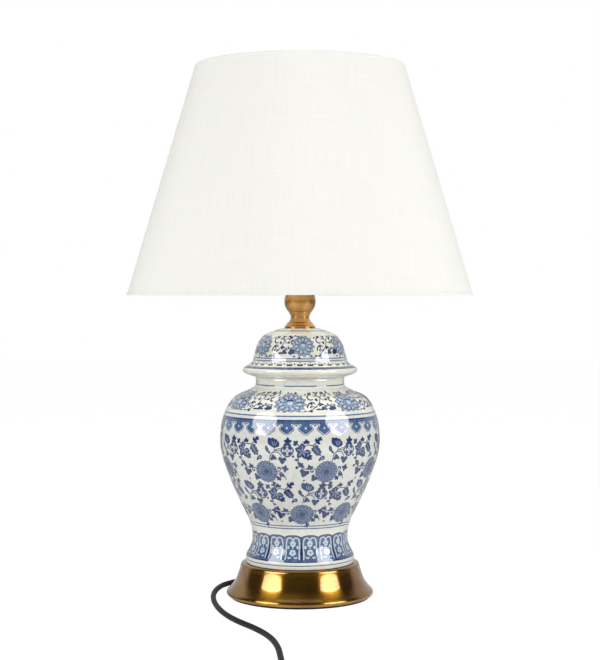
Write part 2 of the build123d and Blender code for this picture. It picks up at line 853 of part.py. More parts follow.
def cone_point(z, depth):
    """A point of the cone's section at a height and a depth."""
    return (shade_radius(z, depth), z)


def cone_layer(outer_depth, inner_depth):
    """A layer of the shade's laminate between two depths, from hem to hem."""
    low = shade_bottom_z + hem_thickness
    high = shade_top_z - hem_thickness
    with BuildPart() as layer:
        with BuildSketch(Plane.XZ):
            Polygon(
                cone_point(low, outer_depth),
                cone_point(high, outer_depth),
                cone_point(high, inner_depth),
                cone_point(low, inner_depth),
                align=None,
            )
        revolve(axis=Axis.Z)
    return layer


cover_depth = hem_thickness + laminate_gap
liner_depth = cover_depth + cover_thickness + laminate_gap
inside_depth = liner_depth + liner_thickness
ring_depth = inside_depth + laminate_gap + ring_wire_radius
keep("shade_cover", cone_layer(cover_depth, cover_depth + cover_thickness))
keep("shade_liner", cone_layer(liner_depth, inside_depth))


def hem(edge_z, inward):
    """A tape folded over an edge of the shade; inward is +1 at the bottom and -1 at the top."""
    web_z = edge_z + inward * hem_thickness
    leg_z = edge_z + inward * hem_height
    with BuildPart() as tape:
        with BuildSketch(Plane.XZ):
            Polygon(
                cone_point(edge_z, inside_depth),
                cone_point(edge_z, 0),
                cone_point(leg_z, 0),
                cone_point(leg_z, cover_depth),
                cone_point(web_z, cover_depth),
                cone_point(web_z, inside_depth),
                align=None,
            )
        revolve(axis=Axis.Z)
    return tape


keep("shade_hem_bottom", hem(shade_bottom_z, 1))
keep("shade_hem_top", hem(shade_top_z, -1))

ring_bottom_z = shade_bottom_z + ring_wire_radius + hem_thickness
with BuildPart() as shade_ring:
    with BuildSketch(Plane.XZ):
        with Locations((shade_radius(ring_bottom_z, ring_depth), ring_bottom_z)):
            Circle(ring_wire_radius)
    revolve(axis=Axis.Z)
keep("shade_ring", shade_ring)

ring_top_z = shade_top_z - ring_wire_radius - hem_thickness
ring_top_radius = shade_radius(ring_top_z, ring_depth)
with BuildPart() as shade_spider:
    with BuildSketch(Plane.XZ):
        with Locations((ring_top_radius, ring_top_z)):
            Circle(ring_wire_radius)
    revolve(axis=Axis.Z)
    arm_z = harp_plate_top_z + arm_wire_radius + 0.1
    for step in range(spider_arms):
        azimuth = 90 + step * 360 / spider_arms
        arm = [
            polar(spider_washer_radius - 2.5, azimuth, arm_z),
            polar(arm_level, azimuth, arm_z),
            polar(ring_top_radius, azimuth, ring_top_z),
        ]
        with BuildLine():
            FilletPolyline(*arm, radius=arm_bend)
        with BuildSketch(Plane(origin=arm[0], z_dir=polar(1, azimuth, 0))):
            Circle(arm_wire_radius)
        sweep()
    with BuildSketch(Plane.XY.offset(harp_plate_top_z)):
        Circle(spider_washer_radius)
    extrude(amount=spider_washer_thickness)
    with BuildSketch(Plane.XY.offset(harp_plate_top_z)):
        Circle(stud_radius + sleeve_gap)
    extrude(amount=spider_washer_thickness, mode=Mode.SUBTRACT)
keep("shade_spider", shade_spider)

with BuildPart() as finial:
    with BuildSketch(Plane.XZ):
        with BuildLine():
            finial_top_z = spider_top_z + finial_height
            ball = CenterArc((0, finial_top_z - finial_radius), finial_radius, -44, 134)
            foot_top = (finial_foot_radius, spider_top_z + 1.6)
            Polyline((0, finial_top_z), (0, spider_top_z), (finial_foot_radius, spider_top_z), foot_top)
            Spline(
                foot_top,
                (stud_radius + 2.2, spider_top_z + 6.5),
                ball @ 0,
                tangents=[(-1, 0.3), (1, 0.9)],
            )
        make_face()
    revolve(axis=Axis.Z)
    with BuildSketch(Plane.XY.offset(spider_top_z)):
        Circle(stud_radius + sleeve_gap)
    extrude(amount=stud_length, mode=Mode.SUBTRACT)
keep("finial", finial)

# ---- lead inside the lamp ----
with BuildPart() as inner_sheath:
    with BuildSketch(relief_plane.offset(sheath_end)):
        Circle(cord_radius)
    extrude(amount=relief_inner - sheath_end)
keep("inner_sheath", inner_sheath)


def core(side):
    """One insulated core from the sheath, under the rod, up its bore and out to a terminal."""
    over = polar(side * core_spacing / 2, exit_azimuth + 90, 0)
    dip_z = plate_top_z + core_radius + 1.5
    route = [
        polar(sheath_end, exit_azimuth, exit_z) + over,
        polar(20.0, exit_azimuth, exit_z) + over,
        polar(11.0, exit_azimuth, dip_z) + over,
        polar(0, exit_azimuth, dip_z) + over,
        polar(0, exit_azimuth, rod_top_z + 2.0) + over,
        Vector(-side * terminal_x, 0, insert_bottom_z - 2.0),
        Vector(-side * terminal_x, 0, insert_bottom_z + 1.0),
    ]
    with BuildPart() as wire:
        with BuildLine():
            FilletPolyline(*route, radius=[5.0, 4.0, 6.0, 1.6, 1.6])
        with BuildSketch(Plane(origin=route[0], z_dir=polar(-1, exit_azimuth, 0))):
            Circle(core_radius)
        sweep()
    return wire


keep("core_live", core(1))
keep("core_neutral", core(-1))

# ---- free lead: the route's corners, chosen by hand ----
relief_tip = polar(relief_end, exit_azimuth, exit_z)
lead_route = [
    tuple(relief_tip),
    (53.0, 101.8, exit_z),
    (51.4, 121.4, 12.4),
    (39.9, 137.2, 8.8),
    (21.6, 144.2, 5.2),
    (2.2, 140.2, lay_height),
    (-22.0, 116.3, lay_height),
    (-50.0, 92.6, lay_height),
    (-85.7, 55.4, lay_height),
    (-94.8, 16.0, lay_height),
    (-95.2, -25.7, lay_height),
    (-89.4, -69.4, lay_height),
    (-78.1, -113.1, lay_height),
    (-63.5, -147.5, lay_height),
    (-44.0, -181.0, lay_height),
    (-28.5, -219.0, lay_height),
    (-20.5, -260.0, lay_height),
    (-17.5, -303.0, lay_height),
    (-15.6, -336.0, lay_height),
    (-11.5, -363.0, lay_height),
    (4.5, -384.5, 3.6),
    (28.5, switch_y, switch_split),
    (switch_x - switch_length / 2, switch_y, switch_split),
]
coil_lead = degrees(atan(coil_pitch / (2 * pi * coil_outer)))
coil_start_azimuth = 90 + coil_lead
coil_y = switch_y - coil_outer * sin(radians(coil_start_azimuth))
coil_start = Vector(coil_x, coil_y, coil_low_z) + polar(coil_outer, coil_start_azimuth, 0)
coil_high_z = coil_low_z + coil_pitch
coil_end = Vector(coil_x, coil_y, coil_high_z) + polar(coil_outer, -coil_start_azimuth, 0)
stub = 2 * cord_radius
switch_out_x = switch_x + switch_length / 2
coil_in_x = coil_start.X - stub
plug_axis_z = plug_thickness / 2 + plug_lift
plug_y = coil_end.Y
plug_tail_x = coil_end.X - stub - plug_tail
link_route = [
    (switch_out_x, switch_y, switch_split),
    (between(switch_out_x, coil_in_x, 0.32), switch_y, switch_split),
    (between(switch_out_x, coil_in_x, 0.68), switch_y, coil_low_z),
    (coil_in_x, switch_y, coil_low_z),
]
tail_route = [
    (coil_end.X - stub, plug_y, coil_high_z),
    (coil_end.X - stub - 12.0, plug_y, coil_high_z),
    (plug_tail_x + 12.0, plug_y, plug_axis_z),
    (plug_tail_x, plug_y, plug_axis_z),
]


def lead_tube(name, route):
    """A round lead along straight runs joined by tangent arcs; prints its radii and length."""
    radii = soft_radii(route)
    with BuildPart() as tube:
        with BuildLine() as line:
            FilletPolyline(*route, radius=radii)
        first = Vector(*route[1]) - Vector(*route[0])
        with BuildSketch(Plane(origin=route[0], z_dir=first.normalized())):
            Circle(cord_radius)
        sweep()
    length = line.wires()[0].length
    expected = pi * cord_radius**2 * length
    print(name, "radii", [round(r) for r in radii], "length", round(length, 1))
    print(name, "volume over section times length", round(tube.part.volume / expected, 5))
    return tube, length


lead_tube_made, lead_length = lead_tube("cord_to_switch", lead_route)
keep("cord_to_switch", lead_tube_made)
link_tube_made, link_length = lead_tube("cord_to_coil", link_route)
keep("cord_to_coil", link_tube_made)
tail_tube_made, tail_length = lead_tube("cord_to_plug", tail_route)
keep("cord_to_plug", tail_tube_made)

# the coil: two layers that spiral in, climb in the half turn where they reverse, and spiral out
coil_turns = coil_half_turns / 2 + 2 * coil_lead / 360
spans = 2 * coil_half_turns
turn_step = coil_turns / spans


def coil_place(turn):
    """Centre line after a number of turns: clockwise, at a steady rate in and out again."""
    middle = coil_turns / 2
    radius = coil_outer - coil_pitch * (turn if turn < middle else coil_turns - turn)
    climb = min(max((turn - middle + turn_step) / (2 * turn_step), 0), 1)
    z = between(coil_low_z, coil_high_z, (1 - cos(pi * climb)) / 2)
    return Vector(coil_x, coil_y, z) + polar(radius, coil_start_azimuth - 360 * turn, 0)


def coil_way(turn):
    """Direction of the centre line there; level and tangent where the layers start and end."""
    nudge = 0.001
    before = coil_place(max(turn - nudge, 0))
    after = coil_place(min(turn + nudge, coil_turns))
    return (after - before).normalized()


with BuildPart() as cord_coil:
    with BuildLine() as coil_line:
        way_in = Vector(1, 0, 0)
        way_out = Vector(-1, 0, 0)
        Line(coil_start - way_in * stub, coil_start)
        marks = [step * turn_step for step in range(spans + 1)]
        ways = [way_in] + [coil_way(mark) for mark in marks[1:-1]] + [way_out]
        for k in range(spans):
            for arc in biarc(coil_place(marks[k]), ways[k], coil_place(marks[k + 1]), ways[k + 1]):
                add(arc)
        Line(coil_end, coil_end + way_out * stub)
    with BuildSketch(Plane(origin=coil_start - way_in * stub, z_dir=way_in)):
        Circle(cord_radius)
    sweep()
keep("cord_coil", cord_coil)
coil_length = coil_line.wires()[0].length
samples = 720
centres = [coil_place(coil_turns * k / samples) for k in range(samples + 1)]
skip = int(samples / coil_turns / 3)
closest = min(
    (centres[i] - centres[j]).length for i in range(samples + 1) for j in range(i + skip, samples + 1)
)
print("cord_coil least gap to itself", round(closest - 2 * cord_radius, 2))
coil_expected = pi * cord_radius**2 * coil_length
print("cord_coil volume over section times length", round(cord_coil.part.volume / coil_expected, 5))
total = lead_length + link_length + tail_length + coil_length + switch_length
print("whole lead with the switch", round(total, 1))

# the tie lies where the coil is two turns wide
tie_azimuth = 180.0
tie_turn = (coil_start_azimuth - tie_azimuth) / 360 % 1
tie_inner = coil_outer - coil_pitch * (tie_turn + 1) - cord_radius - tie_gap - 0.25
tie_outer = coil_outer - coil_pitch * tie_turn + cord_radius + tie_gap + 0.25
tie_low = coil_low_z - cord_radius - tie_gap
tie_high = coil_high_z + cord_radius + tie_gap
with BuildPart() as coil_tie:
    tie_plane = Plane(
        origin=Vector(coil_x, coil_y, 0) + polar(tie_inner, tie_azimuth, 0),
        x_dir=polar(1, tie_azimuth, 0),
        z_dir=polar(1, tie_azimuth - 90, 0),
    )
    with BuildSketch(tie_plane.offset(-tie_width / 2)):
        with Locations(((tie_outer - tie_inner) / 2, (tie_low + tie_high) / 2)):
            RectangleRounded(
                tie_outer - tie_inner + 2 * tie_thickness, tie_high - tie_low + 2 * tie_thickness, 2.4
            )
            RectangleRounded(tie_outer - tie_inner, tie_high - tie_low, 1.8, mode=Mode.SUBTRACT)
    extrude(amount=tie_width)
keep("coil_tie", coil_tie)

# ---- plug ----
plug_back_x = plug_tail_x - plug_relief_length
plug_face_x = plug_back_x - plug_length
plug_plane = Plane(origin=(plug_face_x, plug_y, plug_axis_z), x_dir=(0, -1, 0), z_dir=(1, 0, 0))
with BuildPart() as plug_body:
    with BuildSketch(plug_plane):
        RectangleRounded(plug_width, plug_thickness, 4.0)
    with BuildSketch(plug_plane.offset(plug_length * 0.3)):
        RectangleRounded(plug_width * 0.94, plug_thickness, 4.0)
    with BuildSketch(plug_plane.offset(plug_length)):
        RectangleRounded(plug_relief_radius * 2.6, plug_thickness * 0.86, 4.0)
    loft(ruled=True)
    with BuildSketch(plug_plane.offset(plug_length)):
        Circle(plug_relief_radius)
    with BuildSketch(plug_plane.offset(plug_length + plug_relief_length)):
        Circle(relief_end_radius)
    loft()
    with BuildSketch(plug_plane):
        with Locations((-pin_spacing / 2, 0), (pin_spacing / 2, 0)):
            Circle(pin_sleeve_radius)
    extrude(amount=-pin_sleeve_length)
    with BuildSketch(plug_plane.offset(-pin_sleeve_length)):
        with Locations((-pin_spacing / 2, 0), (pin_spacing / 2, 0)):
            Circle(pin_core_radius + grommet_gap)
    extrude(amount=pin_sleeve_length + plug_length * 0.4, mode=Mode.SUBTRACT)
keep("plug_body", plug_body)

with BuildPart() as plug_pins:
    with BuildSketch(plug_plane.offset(-pin_length)):
        with Locations((-pin_spacing / 2, 0), (pin_spacing / 2, 0)):
            Circle(pin_radius)
    extrude(amount=pin_length - pin_sleeve_length)
    fillet(plug_pins.edges().group_by(Axis.X)[0], 1.2)
    with BuildSketch(plug_plane.offset(-pin_sleeve_length)):
        with Locations((-pin_spacing / 2, 0), (pin_spacing / 2, 0)):
            Circle(pin_core_radius)
    extrude(amount=pin_sleeve_length + plug_length * 0.4)
keep("plug_pins", plug_pins)

# ---- inline switch ----
switch_at = Vector(switch_x, switch_y, 0)
window_length = rocker_length + 2 * rocker_gap
window_width = rocker_width + rocker_gap
pivot_z = switch_height - pivot_drop
ear_start = window_width / 2
case_screws = [(-case_screw_x, case_screw_y), (case_screw_x, -case_screw_y)]
cover_inner_top = switch_height - switch_wall

with BuildPart() as switch_base:
    with BuildSketch(Plane(origin=switch_at)):
        RectangleRounded(switch_length, switch_width, switch_round)
    extrude(amount=switch_split)
    fillet(switch_base.edges().group_by(Axis.Z)[0], 0.8)
    with BuildSketch(Plane(origin=switch_at + Vector(0, 0, switch_wall))):
        RectangleRounded(
            switch_length - 2 * switch_wall, switch_width - 2 * switch_wall, switch_round - switch_wall
        )
    extrude(amount=switch_split - switch_wall, mode=Mode.SUBTRACT)
    with BuildSketch(Plane(origin=switch_at)):
        with Locations(*case_screws):
            Circle(case_boss_radius)
    extrude(amount=switch_split)
    with BuildSketch(Plane(origin=switch_at)):
        with Locations(*case_screws):
            Circle(case_screw_radius + grommet_gap)
    extrude(amount=switch_split, mode=Mode.SUBTRACT)
    with BuildSketch(Plane(origin=switch_at)):
        with Locations(*case_screws):
            Circle(case_head_radius + grommet_gap)
    extrude(amount=case_head_height + case_head_sink, mode=Mode.SUBTRACT)
keep("switch_base", switch_base)

with BuildPart() as switch_cover:
    with BuildSketch(Plane(origin=switch_at + Vector(0, 0, switch_split))):
        RectangleRounded(switch_length, switch_width, switch_round)
    extrude(amount=switch_height - switch_split)
    fillet(switch_cover.edges().group_by(Axis.Z)[-1], 1.8)
    with BuildSketch(Plane(origin=switch_at + Vector(0, 0, switch_split))):
        RectangleRounded(
            switch_length - 2 * switch_wall, switch_width - 2 * switch_wall, switch_round - switch_wall
        )
    extrude(amount=cover_inner_top - switch_split, mode=Mode.SUBTRACT)
    with BuildSketch(Plane(origin=switch_at + Vector(0, 0, cover_inner_top))):
        Rectangle(window_length, window_width)
    extrude(amount=switch_wall, mode=Mode.SUBTRACT)
    with BuildSketch(Plane(origin=switch_at + Vector(0, 0, pivot_z - ear_drop))):
        with Locations((0, -ear_start - ear_width / 2), (0, ear_start + ear_width / 2)):
            Rectangle(ear_length, ear_width)
    extrude(amount=cover_inner_top - pivot_z + ear_drop)
    ear_face = switch_at + Vector(0, -ear_start - ear_width, pivot_z)
    with BuildSketch(Plane(origin=ear_face, x_dir=(1, 0, 0), z_dir=(0, 1, 0))):
        Circle(pivot_radius + pivot_gap)
    extrude(amount=2 * (ear_start + ear_width), mode=Mode.SUBTRACT)
    with BuildSketch(Plane(origin=switch_at + Vector(0, 0, switch_split))):
        with Locations(*case_screws):
            Circle(case_boss_radius)
            Circle(case_screw_radius + thread_gap, mode=Mode.SUBTRACT)
    extrude(amount=cover_inner_top - switch_split)
keep("switch_cover", switch_cover)

rocker_half = rocker_length / 2
with BuildPart() as switch_rocker:
    rocker_face = switch_at + Vector(0, rocker_width / 2, pivot_z)
    with BuildSketch(Plane(origin=rocker_face, x_dir=(1, 0, 0), z_dir=(0, -1, 0))):
        Polygon(
            (-rocker_half, 3.4),
            (0, 2.2),
            (rocker_half, 3.4),
            (rocker_half, -0.4),
            (3.0, -3.0),
            (-3.0, -3.0),
            (-rocker_half, -0.4),
            align=None,
            rotation=-rocker_tilt,
        )
    extrude(amount=rocker_width)
    pin_reach = ear_start + ear_width - 0.4
    with BuildSketch(
        Plane(origin=switch_at + Vector(0, pin_reach, pivot_z), x_dir=(1, 0, 0), z_dir=(0, -1, 0))
    ):
        Circle(pivot_radius)
    extrude(amount=2 * pin_reach)
keep("switch_rocker", switch_rocker)

with BuildPart() as switch_screws:
    with BuildSketch(Plane(origin=switch_at + Vector(0, 0, case_head_sink))):
        with Locations(*case_screws):
            Circle(case_head_radius)
    extrude(amount=case_head_height)
    with BuildSketch(Plane(origin=switch_at + Vector(0, 0, case_head_sink + case_head_height))):
        with Locations(*case_screws):
            Circle(case_screw_radius)
    extrude(amount=case_screw_length)
keep("switch_screws", switch_screws)

with BuildPart() as switch_contacts:
    with BuildSketch(Plane(origin=switch_at + Vector(0, 0, switch_wall))):
        with Locations((-10.0, -4.5), (-10.0, 4.5), (10.0, -4.5), (10.0, 4.5)):
            Rectangle(8.0, 5.0)
    extrude(amount=3.4)
keep("switch_contacts", switch_contacts)

os.makedirs("parts", exist_ok=True)
for name, made in parts.items():
    export_step(made.part, f"parts/{name}.step")
print(len(parts), "nodes")
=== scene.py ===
import json
import math
import bpy
import numpy as np
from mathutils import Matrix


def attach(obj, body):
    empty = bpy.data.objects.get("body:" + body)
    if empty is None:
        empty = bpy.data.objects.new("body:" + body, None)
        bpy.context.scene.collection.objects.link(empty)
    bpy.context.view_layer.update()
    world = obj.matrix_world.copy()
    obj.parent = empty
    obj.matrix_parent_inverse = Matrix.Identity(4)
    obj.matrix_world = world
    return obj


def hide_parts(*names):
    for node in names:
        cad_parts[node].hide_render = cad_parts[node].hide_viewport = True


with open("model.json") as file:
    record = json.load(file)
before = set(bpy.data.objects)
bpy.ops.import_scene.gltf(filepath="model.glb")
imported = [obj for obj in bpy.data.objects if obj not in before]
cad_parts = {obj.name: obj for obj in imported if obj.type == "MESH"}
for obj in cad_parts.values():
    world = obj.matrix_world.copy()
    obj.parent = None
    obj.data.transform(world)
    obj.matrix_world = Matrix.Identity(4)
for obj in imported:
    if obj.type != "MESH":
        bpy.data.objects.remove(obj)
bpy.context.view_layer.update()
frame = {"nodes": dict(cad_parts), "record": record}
nodes = frame["nodes"]
mm = 0.001


# ---- camera, from the photograph's frame of 600 by 660 pixels ----
frame_height_px = 660.0
focal_length_px = 1530.0
horizon_above_middle_px = 34.0
eye_distance = 1.693
eye_height = 0.3313

view = bpy.data.cameras.new("front_view")
view.sensor_fit = "VERTICAL"
view.sensor_height = 24.0
view.lens = view.sensor_height * focal_length_px / frame_height_px
view.shift_y = -horizon_above_middle_px / frame_height_px
view.clip_start = 0.05
camera = bpy.data.objects.new("front_camera", view)
camera.location = (0.0, -eye_distance, eye_height)
camera.rotation_euler = (math.pi / 2.0, 0.0, 0.0)
bpy.context.scene.collection.objects.link(camera)
bpy.context.scene.camera = camera
bpy.context.scene.view_settings.view_transform = "Standard"


# ---- the mains lead, in the two lengths that its switch divides ----
lead_radius = 2.9
coil_turns = 4.508
coil_steps = 72
coil_radius = 39.5
coil_pitch = 6.3
coil_low = 3.6
coil_start = 91.454
coil_middle = (147.0, -434.49)


def lead(name, points):
    """A round lead: a quadratic NURBS line on its route's points, with a circle carried along it."""
    line = bpy.data.curves.new(name, "CURVE")
    line.dimensions = "3D"
    line.bevel_depth = lead_radius * mm
    line.bevel_resolution = 6
    line.resolution_u = 10
    line.use_fill_caps = True
    spline = line.splines.new("NURBS")
    spline.points.add(len(points) - 1)
    weighted = np.column_stack([np.asarray(points) * mm, np.ones(len(points))])
    spline.points.foreach_set("co", weighted.astype(np.float32).ravel())
    spline.order_u = 3
    spline.use_endpoint_u = True
    made = bpy.data.objects.new(name, line)
    bpy.context.scene.collection.objects.link(made)
    return made


rear_route = [
    (43.87, 84.27, 14.0), (53.0, 101.8, 14.0), (51.4, 121.4, 12.4), (39.9, 137.2, 8.8),
    (21.6, 144.2, 5.2), (2.2, 140.2, 2.95), (-22.0, 116.3, 2.95), (-50.0, 92.6, 2.95),
    (-85.7, 55.4, 2.95), (-94.8, 16.0, 2.95), (-95.2, -25.7, 2.95), (-89.4, -69.4, 2.95),
    (-78.1, -113.1, 2.95), (-63.5, -147.5, 2.95), (-44.0, -181.0, 2.95), (-28.5, -219.0, 2.95),
    (-20.5, -260.0, 2.95), (-17.5, -303.0, 2.95), (-15.6, -336.0, 2.95), (-11.5, -363.0, 2.95),
    (4.5, -384.5, 3.6), (28.5, -395.0, 6.5), (52.0, -395.0, 6.5),
]


def coil_points():
    """The wound part of the lead: a spiral that closes by its pitch a turn to its middle and opens
    again, clockwise, and climbs by its pitch around the middle as half a cosine wave. The points
    stand outside the line by 1 over the cosine of half a step, where a quadratic line needs them."""
    turn = np.linspace(0.0, coil_turns, coil_steps + 1)
    middle = coil_turns / 2.0
    step = coil_turns / 18.0
    radius = coil_radius - coil_pitch * np.minimum(turn, coil_turns - turn)
    climb = np.clip((turn - middle + step) / (2.0 * step), 0.0, 1.0)
    height = coil_low + coil_pitch * (1.0 - np.cos(np.pi * climb)) / 2.0
    azimuth = np.radians(coil_start - 360.0 * turn)
    swell = 1.0 / math.cos(math.pi * coil_turns / coil_steps)
    radius = radius * np.where((turn > 0.01) & (turn < coil_turns - 0.01), swell, 1.0)
    right = coil_middle[0] + radius * np.cos(azimuth)
    back = coil_middle[1] + radius * np.sin(azimuth)
    return np.column_stack([right, back, height])


front_route = np.vstack(
    [
        [(110.0, -395.0, 6.5), (120.0, -395.0, 6.5), (131.0, -395.0, 3.6), (140.2, -395.0, 3.6)],
        coil_points(),
        [(140.2, -473.97, 9.9), (128.2, -473.97, 9.9), (112.2, -473.97, 7.2), (100.2, -473.97, 7.2)],
    ]
)
lead_rear = lead("lead_to_switch", rear_route)
lead_front = lead("lead_to_plug", front_route)
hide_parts("cord_to_switch")
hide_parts("cord_to_coil", "cord_coil", "cord_to_plug")


# ---- materials ----
def tint(red, green, blue):
    """A colour written in 0 to 255, as the shader takes it."""
    share = np.array([red, green, blue]) / 255.0
    linear = np.where(share <= 0.04045, share / 12.92, ((share + 0.055) / 1.055) ** 2.4)
    return (*linear.tolist(), 1.0)


class Wire:
    """A number on its way through a material, on which sums are written as Python."""

    def __init__(self, finish, socket):
        self.finish = finish
        self.socket = socket

    def maths(self, operation, *values):
        return self.finish.node("ShaderNodeMath", {"operation": operation}, dict(enumerate(values)))

    def __add__(self, other):
        return self.maths("ADD", self, other)

    def __rsub__(self, other):
        return self.maths("SUBTRACT", other, self)

    def __mul__(self, other):
        return self.maths("MULTIPLY", self, other)


class Finish:
    """A material, or a world, while its nodes are being joined."""

    def __init__(self, name, settings, world=False):
        self.block = bpy.data.worlds.new(name) if world else bpy.data.materials.new(name)
        self.block.use_nodes = True
        self.tree = self.block.node_tree
        kind = "BACKGROUND" if world else "BSDF_PRINCIPLED"
        self.shader = next(node for node in self.tree.nodes if node.type == kind)
        for socket, value in settings.items():
            self.shader.inputs[socket].default_value = value

    def node(self, kind, settings, values, output=0):
        """Any node: its settings first, then a value or a link for each socket named."""
        made = self.tree.nodes.new(kind)
        for name, value in settings.items():
            setattr(made, name, value)
        for socket, value in values.items():
            if isinstance(value, Wire):
                self.tree.links.new(value.socket, made.inputs[socket])
            else:
                made.inputs[socket].default_value = value
        return Wire(self, made.outputs[output])

    def place(self):
        """Object coordinates, in metres."""
        return self.node("ShaderNodeTexCoord", {}, {}, "Object")

    def stretch(self, vector, scale):
        """The vector with each of its parts multiplied."""
        return self.node("ShaderNodeVectorMath", {"operation": "MULTIPLY"}, {0: vector, 1: scale})

    def noise(self, vector, scale, detail=2.0):
        return self.node(
            "ShaderNodeTexNoise", {}, {"Vector": vector, "Scale": scale, "Detail": detail}
        )

    def parts(self, vector):
        """The vector's three parts as numbers."""
        first = self.node("ShaderNodeSeparateXYZ", {}, {0: vector})
        return [Wire(self, socket) for socket in first.socket.node.outputs]

    def mix(self, share, first, second):
        """A colour that goes from first to second as share goes from 0 to 1."""
        return self.node("ShaderNodeMix", {"data_type": "RGBA"}, {0: share, 6: first, 7: second}, 2)

    def spread(self, value, low, high, bottom=0.0, top=1.0):
        """The value carried smoothly from the range low to high onto bottom to top."""
        return self.node(
            "ShaderNodeMapRange",
            {"interpolation_type": "SMOOTHSTEP"},
            {0: value, 1: low, 2: high, 3: bottom, 4: top},
        )

    def feed(self, socket, wire):
        self.tree.links.new(wire.socket, self.shader.inputs[socket])

    def bump(self, height, distance, strength=1.0):
        """Bump from a height between 0 and 1 that stands for the given distance."""
        values = {"Height": height, "Distance": distance, "Strength": strength}
        self.feed("Normal", self.node("ShaderNodeBump", {}, values))


def glazed(name, colour, deep):
    """Porcelain under a clear glaze, or the blue painted beneath it: the colour drifts a little
    towards a deeper one, as cobalt does where the brush ran wet."""
    finish = Finish(
        name,
        {
            "Base Color": colour,
            "Roughness": 0.08,
            "IOR": 1.55,
            "Coat Weight": 1.0,
            "Coat Roughness": 0.02,
            "Coat IOR": 1.5,
        },
    )
    place = finish.place()
    drift = finish.spread(finish.noise(place, 240.0, 3.0), 0.35, 0.7)
    finish.feed("Base Color", finish.mix(drift, colour, deep))
    finish.bump(finish.noise(place, 55.0, 1.0), 0.00006)
    return finish.block


def turned_brass(name, light, dark, roughness):
    """Antique brass from a lathe, under a clear lacquer: fine rings at each height and radius, and
    a brown patina in clouds."""
    finish = Finish(
        name,
        {
            "Base Color": light,
            "Metallic": 1.0,
            "Roughness": roughness,
            "Anisotropic": 0.9,
            "Anisotropic Rotation": 0.25,
            "Coat Weight": 0.85,
            "Coat Roughness": 0.04,
            "Coat IOR": 1.66,
        },
    )
    place = finish.place()
    across = finish.stretch(place, (1.0, 1.0, 0.0))
    radius = finish.node("ShaderNodeVectorMath", {"operation": "LENGTH"}, {0: across}, "Value")
    height = finish.parts(place)[2]
    ring_place = finish.node("ShaderNodeCombineXYZ", {}, {0: radius, 1: height, 2: 0.0})
    rings = finish.noise(finish.stretch(ring_place, (1900.0, 1900.0, 1.0)), 1.0)
    cloud = finish.noise(place, 26.0, 4.0)
    patina = finish.spread(cloud + rings * 0.35, 0.42, 0.95)
    finish.feed("Base Color", finish.mix(patina, light, dark))
    finish.feed("Roughness", rings * 0.10 + cloud * 0.08 + (roughness - 0.09))
    finish.bump(rings, 0.00002)
    return finish.block


def plain_metal(name, colour, worn, roughness):
    """Rolled or plated steel: a fine grain in its roughness and a worn tone in patches."""
    finish = Finish(name, {"Base Color": colour, "Metallic": 1.0, "Roughness": roughness})
    place = finish.place()
    grains = finish.noise(place, 700.0)
    patches = finish.noise(place, 40.0, 3.0)
    finish.feed("Base Color", finish.mix(finish.spread(patches, 0.4, 0.75), colour, worn))
    finish.feed("Roughness", grains * 0.16 + (roughness - 0.08))
    finish.bump(grains, 0.00002)
    return finish.block


def moulded(name, colour, worn, roughness, grain=1500.0, depth=0.00003, settings=None):
    """Moulded plastic or rubber: a fine spark-eroded grain, slightly paler where it is rubbed."""
    finish = Finish(name, {"Base Color": colour, "Roughness": roughness, **(settings or {})})
    place = finish.place()
    grains = finish.noise(place, grain)
    patches = finish.noise(place, 60.0, 3.0)
    finish.feed("Base Color", finish.mix(finish.spread(patches, 0.45, 0.8), colour, worn))
    finish.feed("Roughness", grains * 0.12 + (roughness - 0.06))
    finish.bump(grains, depth)
    return finish.block


def woven(name, colour, shadow):
    """Shade cloth: crossed threads on the piece's own map, which is in metres round and up it.
    Each thread is a sine of its place, thicker and thinner along its length by a slow noise."""
    finish = Finish(
        name, {"Base Color": colour, "Roughness": 0.85, "Sheen Weight": 0.1, "Sheen Roughness": 0.5}
    )
    thread_spacing = 0.0009
    flat = finish.node("ShaderNodeUVMap", {}, {})
    around, upward, _ = finish.parts(flat)
    slub_up = finish.noise(finish.stretch(flat, (900.0, 22.0, 1.0)), 1.0)
    slub_round = finish.noise(finish.stretch(flat, (22.0, 900.0, 1.0)), 1.0)
    warp = around.maths("SINE", around * (2.0 * math.pi / thread_spacing))
    weft = upward.maths("SINE", upward * (2.0 * math.pi / thread_spacing))
    threads = warp * weft * 0.5 + 0.5
    slubs = slub_up * 0.5 + slub_round * 0.5
    finish.feed("Base Color", finish.mix(finish.spread(slubs, 0.3, 0.7), shadow, colour))
    finish.bump(threads * 0.5 + slubs * 0.5, 0.00005, 0.5)
    return finish.block


